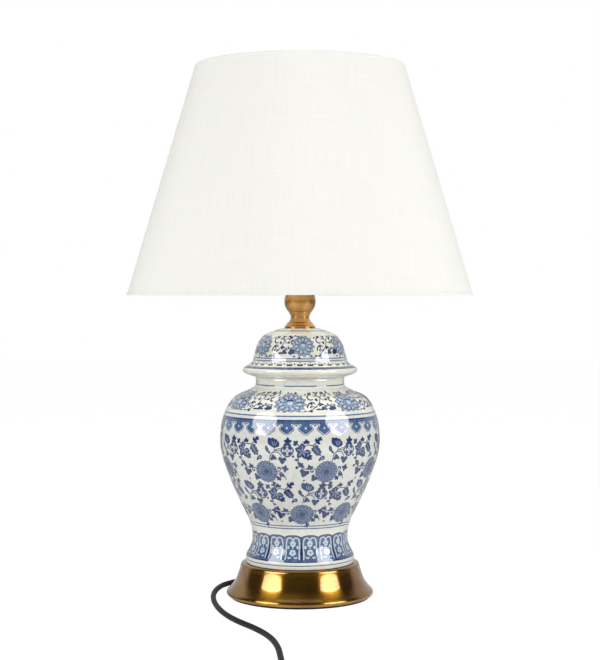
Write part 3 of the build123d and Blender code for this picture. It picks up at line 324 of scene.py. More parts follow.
ivory = tint(227, 227, 218)
finishes = {
    "pad": moulded("foam_pad", tint(28, 27, 26), tint(46, 45, 43), 0.9, 900.0, 0.00015),
    "antique_brass": turned_brass("antique_brass", tint(202, 150, 52), tint(134, 86, 16), 0.24),
    "plate": moulded("plate_paint", tint(30, 30, 31), tint(44, 44, 45), 0.42, 900.0),
    "ballast": moulded("cast_iron", tint(62, 60, 58), tint(84, 70, 60), 0.75, 500.0, 0.0002),
    "zinc_steel": plain_metal("zinc_steel", tint(186, 188, 192), tint(150, 152, 155), 0.34),
    "gasket": moulded("soft_ring", tint(32, 32, 33), tint(48, 48, 48), 0.8),
    "harp_metal": turned_brass("harp_brass", tint(190, 148, 78), tint(130, 92, 42), 0.26),
    "holder_brass": turned_brass("holder_brass", tint(200, 160, 86), tint(150, 112, 54), 0.28),
    "holder_ceramic": moulded("holder_ceramic", tint(232, 229, 220), tint(220, 214, 202), 0.35),
    "contact_brass": plain_metal("contact_brass", tint(206, 176, 104), tint(168, 134, 74), 0.3),
    "solder": plain_metal("solder", tint(196, 198, 200), tint(160, 162, 164), 0.4),
    "bulb_black": moulded("bulb_insulator_black", tint(24, 24, 26), tint(40, 40, 42), 0.3),
    "bulb_metal": plain_metal("bulb_cap_metal", tint(206, 206, 202), tint(176, 176, 172), 0.3),
    "opal_glass": moulded(
        "opal_glass", tint(242, 241, 236), tint(236, 234, 228), 0.22, 300.0, 0.00001,
        {"Coat Weight": 0.6, "Coat Roughness": 0.04},
    ),
    "shade_liner": moulded(
        "shade_liner", tint(238, 236, 228), tint(230, 227, 217), 0.5, 400.0, 0.00002
    ),
    "white_wire": moulded("white_wire", tint(236, 235, 230), tint(216, 214, 206), 0.4, 600.0),
    "core_brown": moulded("core_brown", tint(96, 58, 36), tint(110, 70, 46), 0.4),
    "core_blue": moulded("core_blue", tint(44, 88, 168), tint(60, 102, 178), 0.4),
    "cord_black": moulded(
        "lead_black", tint(12, 12, 13), tint(20, 20, 22), 0.5, 1200.0,
        settings={"Specular IOR Level": 0.3},
    ),
    "tie_black": moulded("tie_black", tint(30, 30, 32), tint(48, 48, 50), 0.5),
    "plug_black": moulded("plug_black", tint(38, 38, 40), tint(56, 56, 58), 0.45, 900.0, 0.00005),
    "pin_metal": plain_metal("pin_metal", tint(206, 202, 188), tint(170, 166, 150), 0.26),
    "switch_black": moulded("switch_black", tint(36, 36, 38), tint(54, 54, 56), 0.42, 900.0, 0.00005),
    "switch_rocker": moulded("rocker_black", tint(30, 30, 32), tint(50, 50, 52), 0.3),
    "porcelain": glazed("white_glaze", ivory, tint(220, 221, 210)),
    "shade_cloth": woven("shade_cloth", tint(234, 233, 229), tint(228, 227, 222)),
}
paints = {
    "reserve": glazed("reserve_white", tint(202, 210, 215), tint(186, 196, 206)),
    "pale": glazed("pale_blue", tint(140, 160, 190), tint(122, 144, 178)),
    "mist": glazed("blue_mist", tint(184, 198, 210), tint(166, 184, 200)),
    "wash": glazed("blue_wash", tint(150, 171, 194), tint(126, 150, 180)),
    "haze": glazed("grey_wash", tint(130, 148, 172), tint(106, 126, 154)),
    "veil": glazed("grey_veil", tint(216, 217, 211), tint(208, 210, 205)),
    "dusk": glazed("dusk_blue", tint(88, 108, 140), tint(70, 90, 126)),
    "blue": glazed("mid_blue", tint(80, 108, 148), tint(60, 88, 132)),
    "ink": glazed("deep_cobalt", tint(46, 64, 112), tint(28, 42, 86)),
}
# how far each paint stands off the glaze, in millimetres, so that the later stroke shows
lifts = {"veil": 0.03, "wash": 0.04, "haze": 0.04, "dusk": 0.04, "mist": 0.06}
lifts |= {"blue": 0.08, "ink": 0.10, "pale": 0.12, "reserve": 0.14}

for subpart in frame["record"]["subparts"]:
    for material_slot in nodes[subpart["node"]].material_slots:
        material_slot.material = finishes[subpart["material_slot"]]
# painted light: the neck spool gets a paler copy of the brass than the base has, standing in for the
# brighter reflections it catches beneath the shade
for material_slot in nodes["neck_spool"].material_slots:
    material_slot.material = turned_brass("neck_brass_painted_light", tint(230, 170, 86), tint(174, 120, 50), 0.24)


# ---- meshes worked out as arrays ----
def corners(rows, columns, close_rows=False, close_columns=False):
    """The row and column of each corner of each face of a grid of points, not yet wrapped round."""
    row = np.arange(rows if close_rows else rows - 1)
    column = np.arange(columns if close_columns else columns - 1)
    row, column = (part.ravel() for part in np.meshgrid(row, column, indexing="ij"))
    return np.stack([row, row, row + 1, row + 1], 1), np.stack([column, column + 1, column + 1, column], 1)


def build(name, points, faces, material, faces_out=False):
    """A mesh from points in millimetres. A closed one has its faces turned outwards by its signed
    volume; faces_out says that they already are."""
    if not faces_out:
        corner = points[faces]
        crossed = np.cross(corner[:, 1] - corner[:, 0], corner[:, 2] - corner[:, 0])
        crossed += np.cross(corner[:, 2] - corner[:, 0], corner[:, 3] - corner[:, 0])
        if (corner[:, 0] * crossed).sum() < 0.0:
            faces = faces[:, ::-1]
    mesh = bpy.data.meshes.new(name)
    mesh.from_pydata((points * mm).tolist(), [], faces.tolist())
    mesh.polygons.foreach_set("use_smooth", np.ones(len(faces), bool))
    mesh.set_sharp_from_angle(angle=math.radians(38.0))
    mesh.materials.append(material)
    made = bpy.data.objects.new(name, mesh)
    bpy.context.scene.collection.objects.link(made)
    return made


def smooth_line(points, ends=(None, None), count=0, step=1.0):
    """A curve through given points: a cubic between each two, with the slopes at the points
    solved so that its bending never jumps; the parameter is the length of the straight runs."""
    points = np.asarray(points, float)
    runs = np.linalg.norm(np.diff(points, axis=0), axis=1)
    start = np.concatenate([[0.0], np.cumsum(runs)])
    total = len(points)
    sums = np.zeros((total, total))
    wanted = np.zeros((total, 2))
    inner = np.arange(1, total - 1)
    sums[inner, inner - 1] = 1.0 / runs[:-1]
    sums[inner, inner + 1] = 1.0 / runs[1:]
    sums[inner, inner] = 2.0 / runs[:-1] + 2.0 / runs[1:]
    rises = np.diff(points, axis=0) / runs[:, None] ** 2
    wanted[1:-1] = 3.0 * (rises[:-1] + rises[1:])
    for row, beside, run, end in ((0, 1, 0, ends[0]), (-1, -2, -1, ends[1])):
        sums[row, row] = 1.0 if end else 2.0 / runs[run]
        sums[row, beside] = 0.0 if end else 1.0 / runs[run]
        wanted[row] = np.array(end) / np.linalg.norm(end) if end else 3.0 * rises[run]
    slopes = np.linalg.solve(sums, wanted)
    place = np.linspace(0.0, start[-1], count or int(start[-1] / step) + 2)
    piece = np.clip(np.searchsorted(start, place, side="right") - 1, 0, total - 2)
    run = runs[piece][:, None]
    share = ((place - start[piece])[:, None]) / run
    return (
        points[piece] * (2 * share**3 - 3 * share**2 + 1)
        + slopes[piece] * run * (share**3 - 2 * share**2 + share)
        + points[piece + 1] * (3 * share**2 - 2 * share**3)
        + slopes[piece + 1] * run * (share**3 - share**2)
    )


def turned(name, line):
    """A closed porcelain profile of radius and height carried round the axis, from the front to the
    right: x is the radius times the sine of the angle, y is minus the radius times its cosine."""
    columns = 256
    angle = np.linspace(0.0, 2.0 * np.pi, columns, endpoint=False)
    radius, height = line[:, :1], line[:, 1:]
    points = np.stack(
        [radius * np.sin(angle), -radius * np.cos(angle), height + 0.0 * angle], -1
    ).reshape(-1, 3)
    row, column = corners(len(line), columns, True, True)
    faces = (row % len(line)) * columns + column % columns
    return build(name, points, faces, finishes["porcelain"])


def joined(*stretches):
    """One line from stretches laid end to end, without points that coincide."""
    line = np.vstack([np.asarray(stretch, float) for stretch in stretches])
    keep = np.concatenate([[True], np.linalg.norm(np.diff(line, axis=0), axis=1) > 0.02])
    return line[keep]


# ---- the porcelain: heights above the floor and radii in millimetres ----
jar_side = joined(
    [(59.5, 38.5), (59.8, 39.0), (59.8, 43.7)],
    smooth_line(
        [
            (59.8, 43.7), (56.32, 52.45), (52.99, 60.71), (52.4, 68.0), (57.21, 87.96),
            (70.31, 115.0), (81.16, 141.5), (86.36, 158.13), (88.0, 175.3), (86.48, 191.32),
            (80.3, 209.68), (68.92, 222.38), (56.72, 227.81), (52.1, 230.5),
        ],
        ((0.0, 1.0), (-0.93, 0.37)),
    ),
    smooth_line([(52.1, 230.5), (48.9, 234.5)], ((-0.93, 0.37), (0.0, 1.0)), 10),
    [(48.9, 236.5), (48.9, 239.0), (48.9, 242.0), (48.6, 242.45), (48.1, 242.4), (48.0, 242.0)],
)
jar_loop = joined(
    jar_side,
    [(44.4, 242.0), (43.9, 241.5), (43.9, 234.0)],
    smooth_line(
        [(43.9, 234.0), (63.0, 219.0), (81.3, 191.0), (82.9, 175.0), (76.0, 141.5), (47.4, 68.0)],
        step=3.0,
    ),
    [(47.4, 49.5), (5.4, 49.5), (5.4, 43.5), (50.5, 43.5), (50.5, 38.5)],
)
jar_glaze = turned("jar_glaze", jar_loop)
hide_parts("jar")

lid_side = joined(
    [(49.9, 242.6)],
    smooth_line(
        [
            (59.2, 245.7), (61.8, 247.3), (63.2, 249.6), (62.6, 251.8),
            (60.7, 253.4), (56.7, 255.45), (54.0, 257.64), (52.2, 260.0),
        ],
        ((0.95, 0.3), (-0.22, 1.0)),
        step=0.6,
    ),
    smooth_line(
        [
            (52.2, 260.0), (49.79, 269.4), (47.51, 277.1), (44.19, 283.18),
            (40.2, 287.61), (34.0, 290.89), (24.9, 294.2), (17.2, 296.0),
        ],
        ((-0.22, 1.0), (-1.0, 0.02)),
        step=0.8,
    ),
)
lid_loop = joined(
    lid_side,
    [(5.4, 296.0), (5.4, 291.4)],
    smooth_line([(17.0, 291.4), (35.0, 285.5), (43.0, 276.5), (47.6, 255.4)]),
    [(39.1, 247.3), (39.1, 234.0), (39.5, 233.6), (42.7, 233.6), (43.1, 234.0), (43.1, 242.6)],
)
lid_glaze = turned("lid_glaze", lid_loop)
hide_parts("lid")


# ---- brushwork: shapes drawn flat in millimetres, then laid on the porcelain ----
# half of a stroke's width, with what the wet brush adds
leaf_spread = 0.61
line_spread = 0.68
# the pendants under the shoulder and the panels round the foot: how many, and the first one's angle
pendant_count = 27
pendant_start = 4.0
panel_count = 18
panel_start = -8.3
panel_step = 360.0 / panel_count
panel_middle = 60.0


def ribbon(middle, half):
    """A strip: each point of a middle line moved to both sides, square to it, by half the width."""
    way = np.gradient(middle, axis=0)
    way = way / np.linalg.norm(way, axis=1, keepdims=True)
    side = np.stack([way[:, 1], -way[:, 0]], -1) * np.asarray(half).reshape(-1, 1)
    return np.stack([middle - side, middle + side], 1)


def leaf(length, width, bow=0.0, belly=0.45, rows=8):
    """A leaf that stands on its root: its middle bows aside as a parabola, and half its width is
    the sine of the share of its length, raised so that it is widest at belly."""
    share = np.linspace(0.0, 1.0, rows)
    power = math.log(0.5) / math.log(belly)
    middle = np.stack([4.0 * bow * share * (1.0 - share), length * share], -1)
    return ribbon(middle, width * leaf_spread * np.sin(np.pi * share**power) + length * 0.008)


def pen(points, width, rise=0.2, fall=0.2, rows=14):
    """A brush line through given points, which swells over its first share and thins over its
    last."""
    share = np.linspace(0.0, 1.0, rows)
    swell = np.minimum(1.0, np.minimum((share + 0.08) / rise, (1.08 - share) / fall))
    return ribbon(smooth_line(points, count=rows), width * line_spread * swell)


def curl(radius, turns, width):
    """A spiral that starts at the origin and winds in, its radius falling to a third."""
    share = np.linspace(0.0, 1.0, 16)
    angle = np.pi + 2.0 * np.pi * turns * share
    reach = radius * (1.0 - 0.66 * share)
    middle = np.stack([radius + reach * np.cos(angle), reach * np.sin(angle)], -1)
    return ribbon(middle, width / 2.0 * (0.5 + np.minimum(share * 2.0, 0.9)))


def disc(radius, rows=2, columns=25):
    """A filled round, in rings from its middle outwards."""
    angle = np.linspace(0.0, 2.0 * np.pi, columns)
    reach = np.linspace(0.01, 1.0, rows)[:, None] * radius
    return np.stack([reach * np.cos(angle), reach * np.sin(angle)], -1)


def edge(shape, width):
    """A thin line round a leaf: up its one side and down the other."""
    rim = np.concatenate([shape[:, 0], shape[::-1, 1], shape[:2, 0]])
    return ribbon(rim, np.full(len(rim), width / 2.0))


def across(shape, columns):
    """The same strip, cut into more columns so that it can follow a round surface."""
    share = np.linspace(0.0, 1.0, columns)[:, None]
    return shape[:, :1] * (1.0 - share) + shape[:, 1:] * share


def moved(shape, u=0.0, v=0.0, turn=0.0, size=1.0, flip=False):
    """The shape enlarged, mirrored, turned anticlockwise by degrees and shifted."""
    angle = math.radians(turn)
    shape = shape * np.array([-size if flip else size, size])
    spin = np.array([[math.cos(angle), math.sin(angle)], [-math.sin(angle), math.cos(angle)]])
    return shape @ spin + np.array([u, v])


def ring_of(shape, count, start=0.0, out=0.0):
    """Copies of a shape round a centre, each moved out along its own direction."""
    return np.stack([moved(moved(shape, v=out), turn=start + 360.0 * k / count) for k in range(count)])


def group(*motifs, **shift):
    """Several drawings as one, moved together."""
    return [(colour, moved(shape, **shift)) for motif in motifs for colour, shape in motif]


def leaning(motif):
    """The drawing as it stands on the shoulder, where what is painted higher up is drawn taller."""
    return [(colour, shape + shape * shape * (0.0, 0.02)) for colour, shape in motif]


def inked(*shapes):
    return [("ink", shape) for shape in shapes]


def petals(length, width, count, start, out, fill, line, thick, belly=0.6):
    """A ring of petals, filled and outlined."""
    petal = leaf(length, width, belly=belly, rows=9)
    outline = edge(petal, thick)
    return [(fill, ring_of(petal, count, start, out)), (line, ring_of(outline, count, start, out))]


def sprig(spread, length, width):
    """Three small leaves on one root."""
    side = leaf(length * 0.85, width)
    return inked(moved(side, turn=spread), leaf(length, width), moved(side, turn=-spread))


def lobed_leaf(length):
    """A leaf with three pairs of side lobes, like an oak's, and a pale midrib."""
    lobe = leaf(length * 0.36, length * 0.24)
    sides = [
        moved(lobe, v=length * rise, turn=turn * side)
        for rise, turn in ((0.14, 64.0), (0.34, 56.0), (0.54, 44.0))
        for side in (1.0, -1.0)
    ]
    midrib = pen([(0.0, length * 0.1), (0.0, length * 0.82)], 0.45, rows=5)
    return inked(leaf(length, length * 0.4), *sides) + [("pale", midrib)]


trefoil = inked(
    moved(leaf(3.9, 3.1, belly=0.55), turn=66.0),
    leaf(5.6, 3.5, belly=0.5),
    moved(leaf(3.9, 3.1, belly=0.55), turn=-66.0),
)
vein = pen([(0.0, 0.8), (0.0, 6.2)], 0.7, rows=6)
star_turns = (7.0, 69.0, 137.0, 202.0, 258.0)
star_flower = inked(*(moved(leaf(9.0, 5.0, belly=0.55), turn=turn) for turn in star_turns)) + [
    ("pale", moved(vein, turn=turn)) for turn in star_turns
]
cross_flower = [
    ("ink", ring_of(leaf(7.4, 7.0, belly=0.64), 4)),
    ("ink", ring_of(leaf(6.2, 3.6, belly=0.6), 4, 45.0)),
    ("pale", ring_of(pen([(-1.7, 4.4), (0.0, 5.4), (1.7, 4.4)], 0.6, rows=7), 4)),
    ("reserve", ring_of(leaf(3.1, 2.1, belly=0.6), 4, 0.0, 0.2)),
    ("ink", disc(0.6)),
]
bud = inked(
    moved(leaf(13.0, 5.6, belly=0.58), turn=31.0),
    moved(leaf(11.6, 5.6, belly=0.6), turn=12.0),
    moved(leaf(10.2, 5.6, belly=0.6), turn=-10.0),
    moved(leaf(8.6, 5.0, belly=0.6), turn=-34.0),
) + [("pale", moved(pen([(0.0, 2.6), (0.3, 8.0)], 0.6, rows=6), turn=turn)) for turn in (21.0, 1.0, -22.0)]
flower_branch = (
    star_flower
    + group(cross_flower, u=-16.6, v=0.6)
    + group(trefoil, u=-16.6, v=5.4, size=1.15)
    + group(sprig(66.0, 5.6, 2.6), u=-16.0, v=9.6)
    + group(bud, u=-30.6, v=3.0)
    + group(lobed_leaf(14.0), u=10.6, v=5.8, turn=-142.0)
    + group(sprig(54.0, 5.0, 2.7), u=3.8, v=8.2, turn=4.0)
    + group(sprig(58.0, 5.6, 2.5), u=14.4, v=9.4, turn=-52.0)
    + group(sprig(66.0, 3.6, 2.0), u=18.0, v=12.2, turn=-30.0)
    + group(sprig(62.0, 4.2, 2.2), u=-7.0, v=8.2, turn=44.0)
    + group(trefoil, u=-31.6, v=-8.8, turn=10.0)
    + group(trefoil, u=-22.0, v=-7.4, turn=176.0, size=1.25)
    + group(sprig(46.0, 5.8, 2.8), u=5.4, v=-5.2, turn=-132.0)
    + inked(
        pen([(-30.6, 3.4), (-30.4, 0.6), (-34.4, -3.2), (-35.8, -7.4), (-36.4, -11.6)], 0.8),
        pen([(-30.2, 0.8), (-26.4, 2.4), (-22.0, 2.6)], 0.7),
        pen([(-30.0, 0.2), (-26.4, 0.6), (-22.4, 0.0)], 0.6),
        pen([(-31.4, -1.2), (-26.0, -1.6), (-22.6, -6.4)], 0.7),
        moved(leaf(8.6, 3.0, 0.7), -40.0, 6.0, -158.0),
        moved(leaf(3.6, 2.2), -35.4, -2.8, 38.0),
        disc(1.4)[None] + (-10.4, -5.4),
        pen([(1.0, 4.0), (4.6, 6.8), (10.4, 6.2), (14.4, 9.6), (18.4, 12.6)], 0.75),
        pen([(-2.6, 4.6), (-5.6, 7.2), (-8.6, 10.6)], 0.9),
        moved(leaf(4.2, 2.3), -6.6, 8.4, 126.0),
        pen([(-4.2, -5.0), (-5.2, -10.4), (-4.2, -15.4)], 0.9),
        moved(leaf(3.8, 2.2), -5.4, -8.8, 100.0),
        moved(leaf(3.4, 2.0), -4.6, -12.4, -110.0),
        moved(curl(2.5, 1.0, 1.3), 18.9, -6.0, -20.0),
        moved(leaf(4.8, 2.2), 19.4, -6.8, 152.0),
        moved(leaf(3.0, 1.8), 19.2, -7.0, -70.0),
    )
)
chrysanthemum = [
    [("haze", disc(9.6, 5, 33))] + petals(5.4, 4.2, 18, 0.0, 7.0, "haze", "ink", 0.6),
    petals(5.2, 4.1, 14, 8.0, 4.3, "haze", "blue", 0.65),
    petals(4.6, 3.6, 10, 0.0, 1.8, "haze", "ink", 0.6),
    petals(3.0, 2.5, 6, 0.0, 0.0, "blue", "ink", 0.55) + inked(disc(0.9)),
]
leaf_branch = (
    group(sprig(78.0, 4.6, 2.5), u=-18.2, v=4.6, turn=22.0)
    + group(sprig(62.0, 3.0, 1.8), u=-18.6, v=5.6, turn=200.0)
    + group(sprig(70.0, 4.6, 2.2), u=-27.6, v=6.8, turn=-24.0)
    + group(trefoil, u=-23.4, v=1.6, turn=162.0, size=1.45)
    + group(trefoil, u=-12.0, v=-5.2, turn=146.0, size=1.15)
    + group(sprig(70.0, 5.2, 2.5), u=20.6, v=3.4, turn=-16.0)
    + group(sprig(66.0, 4.4, 2.4), u=17.0, v=-2.6, turn=146.0)
    + group(sprig(52.0, 4.8, 2.4), u=14.0, v=-6.4, turn=138.0)
    + inked(
        pen([(-32.0, 4.4), (-29.0, 6.8), (-26.0, 5.0), (-20.3, 3.6), (-14.5, 4.0), (-9.8, 2.6)], 0.75),
        moved(leaf(3.6, 2.6), -30.2, 6.0, 110.0),
        moved(curl(2.0, 0.85, 1.1), -16.4, 3.4, -70.0),
        disc(1.1)[None] + (-24.3, -9.7),
        moved(curl(2.2, 0.9, 1.2), 13.4, 1.8, 70.0),
        pen([(11.0, 0.2), (16.8, -0.6), (19.6, -4.6), (21.6, -9.4)], 0.75),
        pen([(17.4, -1.2), (15.8, -5.0), (12.4, -8.4)], 0.9),
        moved(leaf(4.6, 2.3), 20.6, 4.0, 178.0),
        moved(leaf(7.6, 2.4, 0.3), 6.4, -10.6, 184.0),
        moved(leaf(3.6, 2.2), 6.2, -12.4, -120.0),
        moved(leaf(3.4, 2.0), 5.8, -15.2, 110.0),
    )
)


def lotus(width, height):
    """An open lotus in four layers: three rings of pointed petals, washed blue and outlined, and a
    pale heart with stamens, drawn within a radius of 1 and stretched to its width and height."""
    heart = disc(0.2, 3)
    outline = ribbon(heart[-1] * 1.02, np.full(25, 0.02))
    stamens = [moved(leaf(0.16, 0.08), 0.06 * place, 0.14, -14.0 * place) for place in (-2, -1, 0, 1, 2)]
    layers = [
        petals(0.64, 0.34, 14, 6.0, 0.36, "wash", "ink", 0.034, 0.46),
        petals(0.6, 0.32, 11, 0.0, 0.2, "wash", "ink", 0.036, 0.48)
        + [("mist", ring_of(leaf(0.4, 0.16, belly=0.62), 11, 0.0, 0.3))],
        petals(0.3, 0.19, 8, 12.0, 0.14, "wash", "ink", 0.028, 0.5),
        [("mist", heart), ("blue", outline)] + inked(*stamens),
    ]
    size = (width / 2.0, height / 2.0)
    return [[(colour, shape * size) for colour, shape in layer] for layer in layers]


stem = [(6.0, -14.2), (14.4, -14.0), (20.6, -11.4), (26.4, -5.6), (31.6, 1.0), (34.2, 8.0), (39.6, 14.6)]
vine = (
    group(trefoil, u=35.4, v=-9.6, turn=8.0, size=1.05)
    + group(sprig(36.0, 8.0, 3.6), u=45.8, v=-10.4, turn=24.0)
    + group(sprig(64.0, 4.4, 2.4), u=22.8, v=-12.6, turn=96.0)
    + inked(
        pen(stem, 0.75),
        pen([(25.6, 5.6), (21.4, 4.8), (18.8, 8.2), (20.6, 12.2), (25.0, 12.6)], 1.3),
        moved(leaf(6.4, 2.8, 0.8), 19.6, 14.4, -74.0),
        moved(curl(3.0, 0.85, 1.2), 26.6, 13.6, 20.0),
        pen([(34.0, 8.0), (29.6, 10.8), (26.6, 9.4)], 0.75),
        pen([(33.8, 8.4), (37.0, 4.6), (40.2, 5.6)], 0.75),
        disc(1.7)[None] + (40.4, 5.4),
        moved(leaf(4.8, 3.0), 28.0, 7.2, -158.0),
        moved(leaf(5.2, 3.1), 32.8, 0.6, 160.0),
        moved(leaf(4.0, 2.4), 32.0, -1.0, -100.0),
        pen([(26.6, -1.4), (24.0, 1.4), (20.6, 0.2), (18.0, -6.6)], 1.2),
        moved(leaf(3.6, 2.4), 22.4, 1.0, -170.0),
        disc(1.8)[None] + (30.2, -9.0),
        moved(leaf(4.4, 2.2), 30.6, -9.6, 80.0),
        moved(curl(2.8, 0.85, 1.1), 38.0, 12.4, 10.0),
        moved(leaf(6.4, 2.4, 0.7), 37.8, 15.8, -84.0),
        moved(leaf(5.4, 2.2, -0.6), 46.8, 9.6, 120.0),
        moved(leaf(4.6, 2.0), 47.4, 2.4, 70.0),
        pen([(31.8, 1.2), (36.6, -2.6), (41.6, -3.0), (45.4, -0.8)], 0.8),
        moved(curl(2.3, 0.9, 1.1), 44.6, -1.6, -30.0),
        moved(leaf(3.4, 1.9), 38.6, -3.0, 150.0),
        moved(leaf(3.2, 1.8), 40.8, -2.6, 20.0),
        pen([(34.2, 8.2), (31.8, 12.4), (33.6, 16.4)], 0.8),
        moved(leaf(3.2, 1.8), 33.0, 15.0, -60.0),
        moved(leaf(3.2, 1.8), 32.4, 14.0, 50.0),
        pen([(39.6, 14.6), (44.4, 14.0), (48.4, 15.8), (52.0, 14.2)], 0.8),
        moved(leaf(3.6, 2.0), 45.0, 14.2, 150.0),
        moved(leaf(3.4, 1.8), 49.6, 15.6, 40.0),
        moved(curl(2.2, 0.9, 1.1), 24.6, -6.4, 150.0),
        moved(leaf(3.4, 1.8), 28.0, -4.0, 130.0),
        moved(leaf(3.2, 1.8), 16.8, -13.4, 40.0),
        moved(leaf(3.4, 1.8), 41.6, 8.6, 30.0),
        disc(1.1)[None] + (44.0, 5.4),
        disc(1.4)[None] + (-4.8, -15.2),
        moved(leaf(4.4, 1.9), -16.0, 10.6, 20.0),
        moved(leaf(4.4, 1.9), 15.0, 11.4, -50.0),
        moved(leaf(4.2, 1.8), 2.0, 14.8, -70.0),
        moved(leaf(4.2, 1.8), -4.0, 14.8, 76.0),
        moved(leaf(3.6, 1.8), -9.6, -13.6, 74.0),
        moved(leaf(3.6, 1.8), 8.4, -13.4, -60.0),
    )
)


class Painting:
    """What is painted on one turned piece, gathered colour by colour as grids of places: an angle
    round the axis, a length up the profile and a lift off the glaze."""

    def __init__(self, name, side):
        self.name = name
        self.side = side
        self.length = np.concatenate([[0.0], np.cumsum(np.linalg.norm(np.diff(side, axis=0), axis=1))])
        self.grids = {}

    def up_to(self, height):
        """The length along the profile at which it reaches a height."""
        return np.interp(height, self.side[:, 1], self.length)

    def keep(self, colour, angle, along, raised):
        lift = lifts[colour] + raised + 0.0 * angle
        self.grids.setdefault(colour, []).append(np.stack([angle, along, lift], -1))

    def lay(self, motif, angle, height, repeats, raised=0.0):
        """A drawing repeated round the piece: millimetres aside become an angle, over the radius at
        its middle, and millimetres up become a length up the profile."""
        radius = np.interp(height, self.side[:, 1], self.side[:, 0])
        turns = np.radians(angle + 360.0 * np.arange(repeats) / repeats)
        for colour, shape in motif:
            shape = shape.reshape(1, -1, *shape.shape[-3:])
            around = (turns[:, None, None, None] + shape[..., 0] / radius).reshape(-1, *shape.shape[2:4])
            along = self.up_to(height) + np.tile(shape[0, ..., 1], (repeats, 1, 1))
            self.keep(colour, around, along, raised)

    def lay_layers(self, layers, angle, height, repeats):
        for level, layer in enumerate(layers):
            self.lay(layer, angle, height, repeats, 0.16 + 0.1 * level)

    def band(self, colour, low, high):
        """A ring between two heights, which may each vary with the angle."""
        angle = np.linspace(0.0, 2.0 * np.pi, 16 * panel_count + 1)
        low, high = (self.up_to(limit(angle) if callable(limit) else limit) for limit in (low, high))
        share = np.linspace(0.0, 1.0, int(np.max(high - low) / 2.5) + 2)[:, None]
        along = (low + (high - low) * share) + 0.0 * angle
        self.keep(colour, (angle + 0.0 * share)[None], along[None], 0.0)

    def finish(self):
        """One mesh for each colour, lifted off the glaze along its normal, all facing outwards."""
        slope = np.gradient(self.side, self.length, axis=0)
        slope /= np.linalg.norm(slope, axis=1, keepdims=True)
        for colour, grids in self.grids.items():
            faces, count = [], 0
            for grid in grids:
                many, rows, columns = grid.shape[:3]
                row, column = corners(rows, columns)
                face = (row * columns + column)[None] + np.arange(many)[:, None, None] * rows * columns
                faces.append(face.reshape(-1, 4) + count)
                count += many * rows * columns
            faces = np.concatenate(faces)
            angle, along, lift = np.concatenate([grid.reshape(-1, 3) for grid in grids]).T
            radius, height, radius_slope, height_slope = (
                np.interp(along, self.length, values) for values in (*self.side.T, *slope.T)
            )
            radius = radius + lift * height_slope
            height = height - lift * radius_slope
            points = np.stack([radius * np.sin(angle), -radius * np.cos(angle), height], -1)
            first, second, third, fourth = (np.stack([angle, along], -1)[faces[:, k]] for k in range(4))
            one, two = third - first, fourth - second
            turned_in = one[:, 0] * two[:, 1] - one[:, 1] * two[:, 0] < 0.0
            faces[turned_in] = faces[turned_in][:, ::-1]
            painted = build(f"{self.name}_{colour}", points, faces, paints[colour], faces_out=True)
            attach(painted, "lamp")


def rhythm(angle, count, start):
    """How far an angle lies from the middle of its repeat, from -0.5 to 0.5 of the repeat."""
    return (angle / (2.0 * np.pi) * count - start * count / 360.0 + 0.5) % 1.0 - 0.5


jar_painting = Painting("jar_painting", jar_side)
jar_painting.lay(flower_branch, 2.0, 168.2, 8)
jar_painting.lay(leaf_branch, 19.8, 145.7, 8)
jar_painting.lay_layers(chrysanthemum, 19.8, 145.7, 8)
jar_painting.lay(flower_branch, -20.6, 121.1, 7)
jar_painting.lay(group(leaf_branch, size=0.94), 2.0, 98.4, 8)
jar_painting.lay_layers(chrysanthemum, 2.0, 98.4, 8)
jar_painting.lay(leaning(vine), -8.0, 217.4, 7)
jar_painting.lay_layers([leaning(layer) for layer in lotus(35.4, 32.0)], -8.0, 217.4, 7)
for low, high, colour in (
    (233.6, 234.8, "blue"),
    (203.9, 205.2, "blue"),
    (84.3, 85.5, "blue"),
    (81.5, 82.7, "blue"),
    (42.2, 43.3, "blue"),
    (196.6, 200.6, "blue"),
    (199.5, 200.9, "ink"),
    (84.9, 204.5, "veil"),
):
    jar_painting.band(colour, low, high)

pendant_edge = np.array(
    [
        (4.6, 0.6), (4.0, -1.6), (4.2, -3.0), (6.2, -4.6), (6.3, -6.0),
        (4.7, -7.3), (3.6, -8.0), (1.7, -9.6), (0.1, -10.6),
    ]
)
pendant = np.stack([pendant_edge * (-1.0, 1.0), pendant_edge], 1)
echo = pen(
    [
        (9.8, -0.9), (6.6, -1.2), (5.4, -2.2), (7.5, -4.4),
        (7.4, -6.6), (5.0, -8.8), (2.2, -11.2), (0.0, -12.2),
    ],
    0.6,
    rows=24,
)
jar_painting.lay(
    [
        ("blue", across(pendant, 7)),
        ("blue", echo),
        ("blue", moved(echo, flip=True)),
        ("ink", edge(pendant, 0.7)),
        ("reserve", disc(1.15)[None] + (0.0, -4.6)),
        ("mist", pen([(-3.6, -6.6), (0.0, -8.6), (3.6, -6.6)], 0.5, rows=8)),
    ],
    pendant_start,
    196.8,
    pendant_count,
    0.03,
)
between_pendants = pendant_start + 180.0 / pendant_count
jar_painting.lay(inked(disc(0.9)), between_pendants, 195.0, pendant_count)

